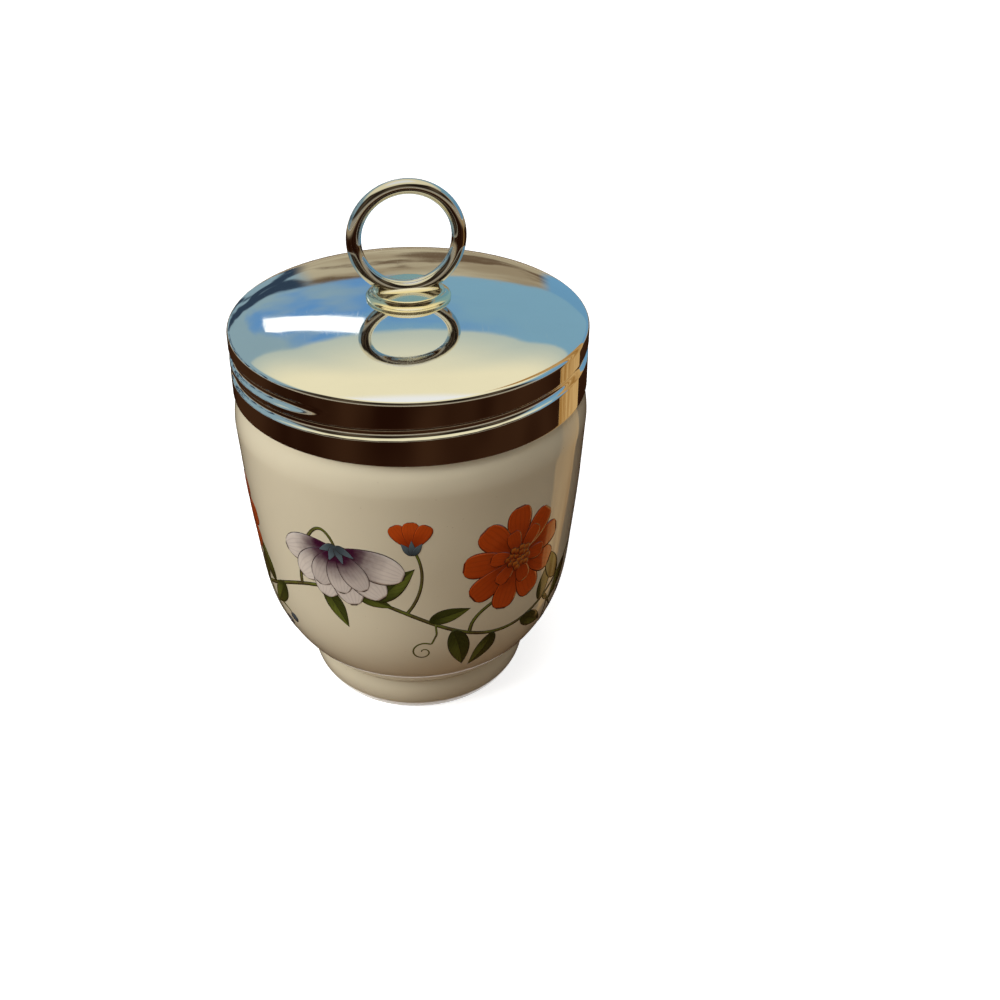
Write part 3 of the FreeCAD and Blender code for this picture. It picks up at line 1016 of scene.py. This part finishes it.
class CODDLER_OT_cap(bpy.types.Operator):
    """Makes the pressed metal cap with its dome and its rolled thread"""

    bl_idname = "coddler.make_cap"
    bl_label = "Make the cap"

    def execute(self, context):
        cap = context.scene.coddler_cap
        skirt_top = cap.skirt_bottom + cap.skirt_height
        dome = (0.0, cap.crown_top - cap.crown_curve)
        slope = math.asin(cap.crown_reach / cap.crown_curve)
        corner = (cap.radius - cap.corner, skirt_top)
        reach_height = dome[1] + cap.crown_curve * math.cos(slope)
        # The arc between the dome and the corner says at which slope the corner ends
        across, down = corner[0] - cap.crown_reach, reach_height - corner[1]
        lean = across * math.sin(slope) - down * math.cos(slope)
        curve_radius = (cap.corner ** 2 - across ** 2 - down ** 2) / (2 * (lean + cap.corner))
        shoulder_radius = cap.crown_reach - curve_radius * math.sin(slope)
        shoulder_height = reach_height - curve_radius * math.cos(slope)
        last = math.degrees(math.atan2(corner[0] - shoulder_radius, corner[1] - shoulder_height))
        # A smooth passage stands in for that arc, and leaves the dome four times the corner further in
        blend_reach = cap.crown_reach - cap.corner * 4
        blend = math.degrees(math.asin(blend_reach / cap.crown_curve))
        leave, meet = (
            (-math.cos(math.radians(turn)), math.sin(math.radians(turn))) for turn in (last, blend)
        )
        faces = []
        for depth, rows in ((0.0, 34), (cap.sheet, 20)):
            hole = math.degrees(math.asin(cap.hole_radius / (cap.crown_curve - depth)))
            bend = arc(corner, cap.corner - depth, 90, last, 12)
            crown = arc(dome, cap.crown_curve - depth, blend, hole, rows)
            faces.append(joined(bend, spline([bend[-1], crown[0]], leave, meet, 24), crown))
        edge = 0.2 * MM
        low = cap.skirt_bottom + edge
        inside = cap.radius - cap.sheet
        outer_skirt = even(np.array([(cap.radius, low), (cap.radius, skirt_top)]), 0.125 * MM)
        inner_skirt = even(np.array([(inside, skirt_top), (inside, low)]), 0.22 * MM)
        fold = arc((cap.radius - edge, low), edge, 180, 90, 5)
        turn_in = arc((inside + edge, low), edge, 270, 180, 5)
        outline = joined(fold, outer_skirt, faces[0], faces[1][::-1], inner_skirt, turn_in)
        level = cap.skirt_bottom + cap.groove_height
        middle = cap.radius + cap.groove_curve - cap.groove_depth
        near = 1e-7
        radii = np.repeat(outline[:, :1], cap.segments, axis=1)
        for radius, section in ((cap.radius, cap.groove_curve), (inside, cap.groove_curve + cap.sheet)):
            bars = thread_bars(
                azimuths_of(cap.segments), outline[:, 1], middle, section, level, cap.thread_lead,
                CAP_THREAD, 1.4 * cap.groove_depth,
            )[0]
            on_wall = (np.abs(outline[:, 0] - radius) < near)[:, None]
            radii = np.where(on_wall, soft_least(radii, bars, cap.softness), radii)
        mesh = turned("cap_shell", outline, cap.segments, radii)
        chrome = metal_finish("polished_cap", context.scene.coddler_colours.chrome, 0.03, 0.075, 0.012 * MM)
        piece(mesh, chrome, "lid", "lid_metal", "lid_shell")
        return {"FINISHED"}


class CODDLER_OT_seat(bpy.types.Operator):
    """Makes the flared seat, the solder that holds the ring, and the headed stem"""

    bl_idname = "coddler.make_seat"
    bl_label = "Make the ring seat"

    def execute(self, context):
        cap = context.scene.coddler_cap
        centre = cap.crown_top - cap.crown_curve
        top = cap.crown_top + cap.seat_height
        edge = 0.3 * MM

        def dome(radius):
            """Height of the dome at the radius."""
            return centre + math.sqrt(cap.crown_curve ** 2 - radius ** 2)

        rim = np.array((cap.seat_radius, top - edge))
        flange = np.array((cap.seat_flange, dome(cap.seat_flange) + 0.35 * MM))
        way = (flange - rim) / np.linalg.norm(flange - rim)
        flare = (rim + flange) / 2 - 0.25 * MM * np.array((-way[1], way[0])) * math.copysign(1, -way[1])
        head_low = SEAT_BOX[0].z
        head_top = head_low + 0.75 * MM
        upper = joined(
            arc_through(flange, flare, rim, 16), arc((rim[0] - edge, rim[1]), edge, 90, 0, 8), [(0, top)],
        )
        under = joined(
            [(0, head_low)],
            arc_through((0.8 * MM, head_low), (2.1 * MM, head_low + 0.3 * MM), (2.9 * MM, head_top), 10),
            [(cap.stem_radius, head_top), (cap.stem_radius, dome(cap.stem_radius))],
            [(r, dome(r)) for r in np.linspace(cap.stem_radius, cap.seat_flange, 14)],
        )
        lower = thinned(softened(joined(under, [flange]), 0.06 * MM, 0.02 * MM), 0.6 * MM)
        outline = joined(lower, even(upper, 0.14 * MM))
        outline[0, 0] = outline[-1, 0] = 0.0
        facets = 128
        off_ring = np.radians(azimuths_of(facets)) - ring_turn(cap)
        x = np.abs(outline[:, :1] * np.cos(off_ring)[None, :])
        y = np.abs(outline[:, :1] * np.sin(off_ring)[None, :])
        flank = np.clip(1 - y / (cap.saddle_width / 2), 0, 1)
        end = np.clip((cap.saddle_length / 2 + 0.1 * MM - x) / (0.7 * MM), 0, 1)
        saddle = cap.saddle_rise * flank ** 1.2 * end * end * (3 - 2 * end)
        on_top = (outline[:, 1] > top - edge) & (np.arange(len(outline)) > len(lower))
        heights = np.repeat(outline[:, 1:], facets, axis=1)
        heights = np.where(on_top[:, None], heights + saddle, heights)
        heights[-1] = heights[-1].max()
        mesh = turned("ring_seat_metal", outline, facets, heights=heights)
        solder = metal_finish("seat_metal", context.scene.coddler_colours.solder, 0.08, 0.2, 0.03 * MM)
        piece(mesh, solder, "lid", "seat_metal", "ring_seat")
        return {"FINISHED"}


class CODDLER_OT_ring(bpy.types.Operator):
    """Makes the round wire ring that lifts the cap"""

    bl_idname = "coddler.make_ring"
    bl_label = "Make the lifting ring"

    def execute(self, context):
        cap = context.scene.coddler_cap
        chrome = metal_finish("polished_ring", context.scene.coddler_colours.wire, 0.03, 0.08, 0.02 * MM)
        values = {
            "Mean radius": (RING_BOX[1].z - RING_BOX[0].z) / 2 - cap.ring_wire,
            "Wire radius": cap.ring_wire,
            "Middle height": (RING_BOX[0].z + RING_BOX[1].z) / 2,
            "Turn": ring_turn(cap),
            "Metal": chrome,
        }
        source = linked("ring_source", bpy.data.meshes.new("ring_source"))
        mesh = grown("lifting_ring_wire", source, *wire_ring_tree(), values)
        piece(mesh, chrome, "lid", "ring_metal", "lifting_ring")
        return {"FINISHED"}


class CODDLER_OT_washer(bpy.types.Operator):
    """Makes the washer that backs the seat inside the cap"""

    bl_idname = "coddler.make_washer"
    bl_label = "Make the backing washer"

    def execute(self, context):
        cap = context.scene.coddler_cap
        low, high = WASHER_BOX[0].z, WASHER_BOX[1].z
        hole = cap.stem_radius + 0.05 * MM
        middle = (cap.washer_radius, (low + high) / 2)
        loop = joined([
            middle, (cap.washer_radius, high), (hole, high), (hole, low), (cap.washer_radius, low), middle,
        ])
        outline = thinned(softened(loop, 0.07 * MM, 0.02 * MM), 0.5 * MM)[:-1]
        mesh = turned("backing_washer_plate", outline, 96)
        steel = brushed_finish("plain_steel", context.scene.coddler_colours.steel)
        piece(mesh, steel, "lid_carrier", "washer_metal", "backing_washer")
        return {"FINISHED"}


class CODDLER_OT_stems(bpy.types.Operator):
    """Paints the vine, the stalks and the tendrils of the garland"""

    bl_idname = "coddler.make_stems"
    bl_label = "Paint the stems"

    def execute(self, context):
        garland, cup, colours = garland_groups(context)
        thin = garland.vine_width
        lines = []
        for start in starts(garland):
            bell_fork, bud_fork, tendril_fork, rosette_fork, berry_fork = (
                vine_point(garland, start, share)
                for share in (BELL_FORK, BUD_FORK, TENDRIL_FORK, ROSETTE_FORK, BERRY_FORK)
            )
            vine = [vine_point(garland, start, share) for share in np.linspace(0, 1, 49)]
            rosette, bell = rosette_centre(garland, start), bell_top(garland, start)
            to_rosette = curve(
                rosette_fork, rosette_fork + (3 * MM, 5 * MM), rosette - (2 * MM, 7 * MM), rosette
            )
            to_bell = curve(bell_fork, bell_fork + (1 * MM, 6 * MM), bell + (-2.5 * MM, 3.5 * MM), bell)
            bud_ways = np.array(((0, 0), (2.5, 5), (3, 10), (1.5, 15))) * MM
            to_bud = curve(*(bud_fork + way for way in bud_ways))
            drawn = [(vine, 1.0, 1.0), (to_rosette, 1.0, 0.8), (to_bell, 1.0, 0.7), (to_bud, 0.8, 0.6)]
            for reach in BERRY_REACHES:
                end = berry_fork + np.array(reach) * MM
                leave, meet = berry_fork + (2 * MM, -2 * MM), end - (1.5 * MM, -1.5 * MM)
                drawn.append((curve(berry_fork, leave, meet, end), 0.7, 0.5))
            spiral = []
            for turn in np.linspace(0, 2.6 * math.pi, 40):
                out = 2.6 * MM - 0.27 * MM * turn
                spoke = np.array((math.cos(turn + 0.9), math.sin(turn + 0.9)))
                spiral.append(tendril_fork + (-2.5 * MM, -7 * MM) + out * spoke)
            tendril = joined([tendril_fork, tendril_fork + (0.2 * MM, -2.5 * MM)], spiral)
            drawn.append((tendril, 0.5, 0.3))
            lines += [(line, first * thin, last * thin) for line, first, last in drawn]
        painted(ribbon_mesh("print_stems", lines), stem_finish(colours), cup, garland)
        return {"FINISHED"}


class CODDLER_OT_leaves(bpy.types.Operator):
    """Paints the leaves of the garland"""

    bl_idname = "coddler.make_leaves"
    bl_label = "Paint the leaves"

    def execute(self, context):
        garland, cup, colours = garland_groups(context)
        size, step = garland.leaf_length, garland.step
        leaf = motif_mesh("leaf", size, 0.4 * size, 0.75, 1.15, 0.12, 22, 12)
        places = []
        for start in starts(garland):
            for k, (share, turn, scale) in enumerate(LEAF_SPOTS):
                x, y = vine_point(garland, start, share)
                places.append((x, y, (1 + k % 2) * step, turn, scale, (k * 0.37) % 1.0))
        paint = paint_finish(
            "leaf_paint", colours.leaf_deep, colours.leaf, colours.outline, (0.0, 0.6), 9.0, 0.15, 0.1, 0.75
        )
        painted(laid("print_leaves", leaf, places, paint), paint, cup, garland)
        return {"FINISHED"}


class CODDLER_OT_rosettes(bpy.types.Operator):
    """Paints the orange flowers and buds of the garland"""

    bl_idname = "coddler.make_rosettes"
    bl_label = "Paint the orange flowers"

    def execute(self, context):
        garland, cup, colours = garland_groups(context)
        size, step = garland.rosette_petal, garland.step
        petal = motif_mesh("petal", size, 0.5 * size, 1.1, 0.42)
        eye = motif_mesh("eye", 1.5 * MM, 1.5 * MM, 0.5, 0.5, 0.0, 10, 8)
        places, seeds = [], []
        for start in starts(garland):
            centre = rosette_centre(garland, start)
            bud = vine_point(garland, start, BUD_FORK) + (1.5 * MM, 14.5 * MM)
            places += fan(centre, 2 * step, 9, 0, 320, 1.0, step)
            places += fan(centre, 11 * step, 6, 20, 320, 0.62, step, (0.3, 0.9))
            places += fan(bud, 2 * step, 3, 28, -28, 0.55, step, (0.1, 0.5))
            for k in range(EYE_SEEDS):
                out, turn = 2.6 * MM * math.sqrt(k / EYE_SEEDS), math.radians(GOLDEN_ANGLE * k)
                x, y = centre[0] + out * math.cos(turn), centre[1] + out * math.sin(turn)
                seeds.append((x, y - 0.75 * MM, (18 + k % 4) * step, 0.0, 1.0, (k * 0.29) % 1.0))
        paint = paint_finish(
            "orange_paint", colours.orange_deep, colours.orange, display(84, 30, 14),
            (0.05, 0.8), 17.0, 0.18, 0.09
        )
        painted(laid("print_orange_petals", petal, places, paint), paint, cup, garland)
        paint = paint_finish(
            "eye_paint", colours.orange_deep, display(214, 130, 50), colours.outline,
            (0.1, 0.9), 4.0, 0.1, 0.28
        )
        painted(laid("print_orange_eyes", eye, seeds, paint), paint, cup, garland)
        return {"FINISHED"}


class CODDLER_OT_bells(bpy.types.Operator):
    """Paints the mauve bellflowers of the garland"""

    bl_idname = "coddler.make_bells"
    bl_label = "Paint the bellflowers"

    def execute(self, context):
        garland, cup, colours = garland_groups(context)
        size, step = garland.bell_petal, garland.step
        petal = motif_mesh("petal", size, 0.52 * size, 0.95, 0.6)
        places = []
        for start in starts(garland):
            top = bell_top(garland, start)
            places += fan(top, 2 * step, 6, 112, 248, 0.98, step, (0.0, 0.3))
            places += fan(top, 8 * step, 3, 150, 210, 0.74, step, (0.5, 1.0))
        paint = paint_finish(
            "mauve_paint", colours.mauve_deep, colours.mauve, colours.outline, (0.25, 0.8), 21.0, 0.12, 0.07
        )
        painted(laid("print_mauve_petals", petal, places, paint), paint, cup, garland)
        return {"FINISHED"}


class CODDLER_OT_berries(bpy.types.Operator):
    """Paints the slate blue berries and calyxes of the garland"""

    bl_idname = "coddler.make_berries"
    bl_label = "Paint the berries"

    def execute(self, context):
        garland, cup, colours = garland_groups(context)
        size, step = garland.berry_size, garland.step
        berry = motif_mesh("berry", size, size, 0.5, 0.5, 0.0, 14, 12)
        sepal = motif_mesh("sepal", 2.0 * size, 0.8 * size, 0.7, 1.2, 0.0, 12, 6)
        berries, sepals = [], []
        for start in starts(garland):
            fork = vine_point(garland, start, BERRY_FORK)
            for k, reach in enumerate(BERRY_REACHES):
                x, y = fork + np.array(reach) * MM
                berries.append((x, y - size / 2, (2 + k) * step, 0.0, 1.0 - 0.08 * k, 0.3 * k))
            bud = vine_point(garland, start, BUD_FORK) + (1.5 * MM, 13.5 * MM)
            sepals += fan(bell_top(garland, start) + (0, 0.6 * MM), 12 * step, 4, 120, 240, 0.8, step)
            sepals += fan(bud, 6 * step, 3, 34, -34, 0.62, step)
        paint = paint_finish(
            "berry_paint", 0.35 * colours.berry, colours.berry, colours.outline, (0.0, 0.8), 3.0, 0.1, 0.14
        )
        flat = merged("print_berries", [laid("b", berry, berries, paint), laid("s", sepal, sepals, paint)])
        painted(flat, paint, cup, garland)
        return {"FINISHED"}


# The stage: rays that reach the camera's background, and sheets that only show in glossy surfaces

SEEN = ("Is Camera Ray", "Is Glossy Ray", "Is Transmission Ray")


def seen_share(tree):
    """1 for the rays that show the background white, and 0 for the rest."""
    path = tree.nodes.new("ShaderNodeLightPath")
    total = path.outputs[SEEN[0]]
    for label in SEEN[1:]:
        both = tree.nodes.new("ShaderNodeMath")
        both.operation = "MAXIMUM"
        tree.links.new(total, both.inputs[0])
        tree.links.new(path.outputs[label], both.inputs[1])
        total = both.outputs[0]
    return total


def sheet_mesh(name, corners):
    """A flat sheet with four corners."""
    mesh = bpy.data.meshes.new(name)
    mesh.from_pydata(corners, [], [(0, 1, 2, 3)])
    return mesh


def dome_mesh(name, outline, segments=64):
    """An open surface turned about the Z axis, its faces inwards or upwards."""
    vertices, faces = [], []
    for r, z in outline:
        for j in range(segments):
            turn = 2 * math.pi * j / segments
            vertices.append((r * math.cos(turn), r * math.sin(turn), z))
    for low in range(0, (len(outline) - 1) * segments, segments):
        high = low + segments
        for j in range(segments):
            k = (j + 1) % segments
            faces.append((low + k, low + j, high + j, high + k))
    return smooth_mesh(name, vertices, faces)


def card(mesh, material):
    """A sheet of the studio that only shows in glossy surfaces."""
    mesh.materials.append(material)
    thing = linked(mesh.name, mesh)
    for kind in ("camera", "diffuse", "shadow", "transmission", "volume_scatter"):
        setattr(thing, "visible_" + kind, False)


def glow(name, strength=1.0):
    """A material that shines by itself, with its colour socket free."""
    f = Finish(name)
    shine = f.add("ShaderNodeEmission")
    shine.inputs["Strength"].default_value = strength
    out = f.tree.nodes["Material Output"]
    f.tree.links.new(shine.outputs[0], out.inputs["Surface"])
    f.tree.nodes.remove(f.shader)
    return f, shine.inputs["Color"]


class CODDLER_OT_stage(bpy.types.Operator):
    """Sets the floor, the light, the reflecting sheets and the camera"""

    bl_idname = "coddler.make_stage"
    bl_label = "Set the stage"

    def execute(self, context):
        scene, stage = context.scene, context.scene.coddler_stage
        scene.view_settings.view_transform = "Standard"
        self.make_world(scene, stage)
        self.make_floor(stage)
        self.make_dome()
        self.make_table_sheet()
        self.make_strips()
        self.make_lamps(stage)
        self.make_camera(scene, stage)
        return {"FINISHED"}

    def make_world(self, scene, stage):
        """Even light from all round, white where the background is seen."""
        world = bpy.data.worlds.new("studio")
        scene.world = world
        world.use_nodes = True
        nodes, links = world.node_tree.nodes, world.node_tree.links
        background = nodes["Background"]
        background.inputs["Color"].default_value = (1.0, 1.0, 1.0, 1.0)
        level = nodes.new("ShaderNodeMapRange")
        level.inputs["To Min"].default_value = stage.fill
        level.inputs["To Max"].default_value = 1.0
        links.new(seen_share(world.node_tree), level.inputs["Value"])
        links.new(level.outputs[0], background.inputs["Strength"])

    def make_floor(self, stage):
        """A pale floor, lifted to white where it is seen, that throws a warm light back on the object."""
        reach = 3.0
        f = Finish("pale_floor", roughness=0.9)
        seen = seen_share(f.tree)
        f.base(f.mix(seen, display(140, 110, 80), display(236, 236, 236)))
        f.shader.inputs["Specular IOR Level"].default_value = 0.0
        f.shader.inputs["Emission Color"].default_value = (1.0, 1.0, 1.0, 1.0)
        f.give(f.shader.inputs["Emission Strength"], f.maths("MULTIPLY", seen, stage.floor_lift))
        corners = [(-reach, -reach, 0), (reach, -reach, 0), (reach, reach, 0), (-reach, reach, 0)]
        floor = linked("floor", sheet_mesh("floor", corners))
        floor.data.materials.append(f.material)

    def make_dome(self):
        """A dome seen only by reflection: wood, then blue, then cream, and dark behind the camera."""
        reach = 0.9
        f, colour_in = glow("room_dome")
        place = f.place()
        height, sideways, ahead = (f.maths("DIVIDE", f.axis(place, name), reach) for name in "ZXY")
        waver = f.maths(
            "MULTIPLY_ADD", f.noise(f.stretched(place, (1.0, 1.0, 2.0)), 3.2, 3.0), 0.04, -0.02
        )
        level = f.maths("ADD", height, waver)
        wood = self.wood_band(f, place, sideways)
        blue = self.blue_band(f, place, sideways)
        cream = f.mix(f.step(height, 0.62, 0.82), display(190, 202, 190), display(253, 243, 204))
        cream = f.mix(f.step(height, 0.93, 0.975), cream, display(255, 255, 252))
        hue = f.mix(f.step(level, 0.34, 0.36), wood, blue)
        hue = f.mix(f.step(level, 0.625, 0.645), hue, cream)
        shade = f.step(f.noise(place, 3.0, 3.0), 0.4, 0.7)
        dark = f.mix(shade, display(32, 24, 18), display(92, 78, 60))
        dark = f.mix(f.step(level, 0.14, 0.3), display(168, 160, 142), dark)
        behind, under = f.step(ahead, -0.3, -0.12, 1.0, 0.0), f.step(level, 0.74, 0.84, 1.0, 0.0)
        f.give(colour_in, f.mix(f.maths("MULTIPLY", behind, under), hue, dark))
        outline = arc((0.0, 0.0), reach, 90, 0, 30)
        outline[-1, 0] = 0.0
        card(dome_mesh("room_dome", outline), f.material)

    def wood_band(self, f, place, sideways):
        """Streaked pale wood, with slate at the left and blue at the right."""
        grain = f.step(f.noise(f.stretched(place, (1.0, 1.0, 3.0)), 4.0, 3.0), 0.38, 0.62)
        wood = f.mix(grain, display(158, 142, 114), display(192, 180, 150))
        streak = f.noise(f.stretched(place, (1.0, 1.0, 2.6)), 5.0, 4.0, 0.6)
        wood = f.mix(f.step(streak, 0.55, 0.66, 0.0, 0.85), wood, display(92, 70, 50))
        clouds = f.step(f.noise(place, 9.0, 2.0), 0.5, 0.58)
        slate = f.mix(clouds, display(140, 168, 180), display(50, 66, 84))
        wood = f.mix(f.step(sideways, -0.19, -0.15, 1.0, 0.0), wood, slate)
        return f.mix(f.step(sideways, 0.22, 0.26), wood, display(112, 162, 196))

    def blue_band(self, f, place, sideways):
        """Blue in patches, greener at the right and greyer far to the left."""
        patches = f.step(f.noise(place, 5.0, 3.0), 0.35, 0.65, -0.14, 0.14)
        patched = f.maths("ADD", sideways, patches)
        blue = f.mix(f.step(patched, -0.16, 0.12), display(98, 152, 206), display(130, 174, 196))
        return f.mix(f.step(patched, -0.32, -0.12, 1.0, 0.0), blue, display(146, 174, 184))

    def make_table_sheet(self):
        """A dark table top round the foot, paler far off, seen only by reflection."""
        inner, outer, over_floor = 0.0205, 0.86, 0.0006
        f, colour_in = glow("table_sheet")
        shade = f.noise(f.place(), 7.0, 2.0)
        table = f.mix(f.step(shade, 0.35, 0.65), display(34, 14, 6), display(62, 38, 22))
        from_axis = f.add("ShaderNodeVectorMath", operation="LENGTH")
        f.give(from_axis.inputs[0], f.place())
        far = f.step(from_axis.outputs["Value"], 0.28, 0.5)
        f.give(colour_in, f.mix(far, table, display(168, 150, 120)))
        outline = np.array([(outer, over_floor), (inner, over_floor)])
        card(dome_mesh("table_sheet", outline), f.material)

    def make_strips(self):
        """An upright strip of wood at the right and a bright window behind, seen only by reflection."""
        left, right, across, low, high = 0.0345, 0.060, -0.008, 0.001, 0.15
        f, colour_in = glow("wood_strip")
        grain = f.step(f.noise(f.stretched(f.place(), (9.0, 1.0, 1.0)), 30.0, 3.0), 0.35, 0.65)
        f.give(colour_in, f.mix(grain, display(164, 118, 58), display(212, 172, 112)))
        corners = [(left, across, low), (right, across, low), (right, across, high), (left, across, high)]
        card(sheet_mesh("wood_strip", corners), f.material)

        distance = 0.8
        f, colour_in = glow("window_strip", 1.5)
        f.give(colour_in, (0.93, 0.98, 1.0))
        corners = []
        for azimuth, elevation in ((96.9, 40.8), (109.7, 33.0), (108.1, 28.7), (96.2, 36.0)):
            turn, lift = math.radians(azimuth), math.radians(elevation)
            level = distance * math.cos(lift)
            corners.append((level * math.cos(turn), level * math.sin(turn), distance * math.sin(lift)))
        card(sheet_mesh("window_strip", corners), f.material)

    def make_lamps(self, stage):
        """A large soft light at the left and a small one overhead, both out of the reflections."""
        target = Vector((0, 0, 0.04))
        lamps = (
            ("key", stage.key_power, (-0.62, -0.22, 0.42), (0.5, 0.4)),
            ("top", stage.top_power, (0.02, -0.16, 0.62), (0.3, 0.2)),
        )
        for name, power, place, size in lamps:
            lamp = bpy.data.lights.new(name, "AREA")
            lamp.shape = "RECTANGLE"
            lamp.size, lamp.size_y = size
            lamp.energy = power
            thing = linked(name, lamp)
            thing.location = place
            thing.rotation_euler = (target - thing.location).to_track_quat("-Z", "Y").to_euler()
            thing.visible_glossy = False

    def make_camera(self, scene, stage):
        """The camera at the photograph's place, with its turn, drop and roll."""
        turn = math.radians(stage.camera_turn)
        drop = math.radians(stage.camera_drop)
        roll = math.radians(stage.camera_roll)
        ahead = Vector((math.sin(turn) * math.cos(drop), math.cos(turn) * math.cos(drop), -math.sin(drop)))
        level = Vector((math.cos(turn), -math.sin(turn), 0))
        above = level.cross(ahead)
        right = math.cos(roll) * level + math.sin(roll) * above
        up = math.cos(roll) * above - math.sin(roll) * level
        lens = bpy.data.cameras.new("camera")
        lens.sensor_width = 36.0
        lens.lens = stage.camera_lens
        lens.clip_start = 0.01
        camera = linked("camera", lens)
        axes = Matrix((right, up, -ahead)).transposed().to_4x4()
        camera.matrix_world = Matrix.Translation(stage.camera_place) @ axes
        scene.camera = camera


class CODDLER_PT_panel(bpy.types.Panel):
    """Lists the coddler's sizes, colours and operators"""

    bl_label = "Egg coddler"
    bl_idname = "CODDLER_PT_panel"
    bl_space_type = "VIEW_3D"
    bl_region_type = "UI"
    bl_category = "Egg coddler"

    def draw(self, context):
        for group in GROUPS:
            box = self.layout.box()
            for name in getattr(context.scene, group).__annotations__:
                box.prop(getattr(context.scene, group), name)
        for operator in OPERATORS:
            self.layout.operator(operator.bl_idname)


OPERATORS = (
    CODDLER_OT_cup, CODDLER_OT_cap, CODDLER_OT_seat, CODDLER_OT_ring, CODDLER_OT_washer, CODDLER_OT_stems,
    CODDLER_OT_leaves, CODDLER_OT_rosettes, CODDLER_OT_bells, CODDLER_OT_berries, CODDLER_OT_stage,
)


def register():
    """Registers the classes and gives every scene the property groups."""
    for item in (*GROUPS.values(), *OPERATORS, CODDLER_PT_panel):
        bpy.utils.register_class(item)
    for name, group in GROUPS.items():
        setattr(bpy.types.Scene, name, PointerProperty(type=group))


def unregister():
    """Takes back what register gave."""
    for name in GROUPS:
        delattr(bpy.types.Scene, name)
    for item in (CODDLER_PT_panel, *reversed(OPERATORS), *reversed(list(GROUPS.values()))):
        bpy.utils.unregister_class(item)


def main():
    """Builds the coddler and its stage."""
    register()
    bpy.ops.coddler.make_cup()
    bpy.ops.coddler.make_cap()
    bpy.ops.coddler.make_seat()
    bpy.ops.coddler.make_ring()
    bpy.ops.coddler.make_washer()
    bpy.ops.coddler.make_stems()
    bpy.ops.coddler.make_leaves()
    bpy.ops.coddler.make_rosettes()
    bpy.ops.coddler.make_bells()
    bpy.ops.coddler.make_berries()
    bpy.ops.coddler.make_stage()


if __name__ == "__main__":
    main()
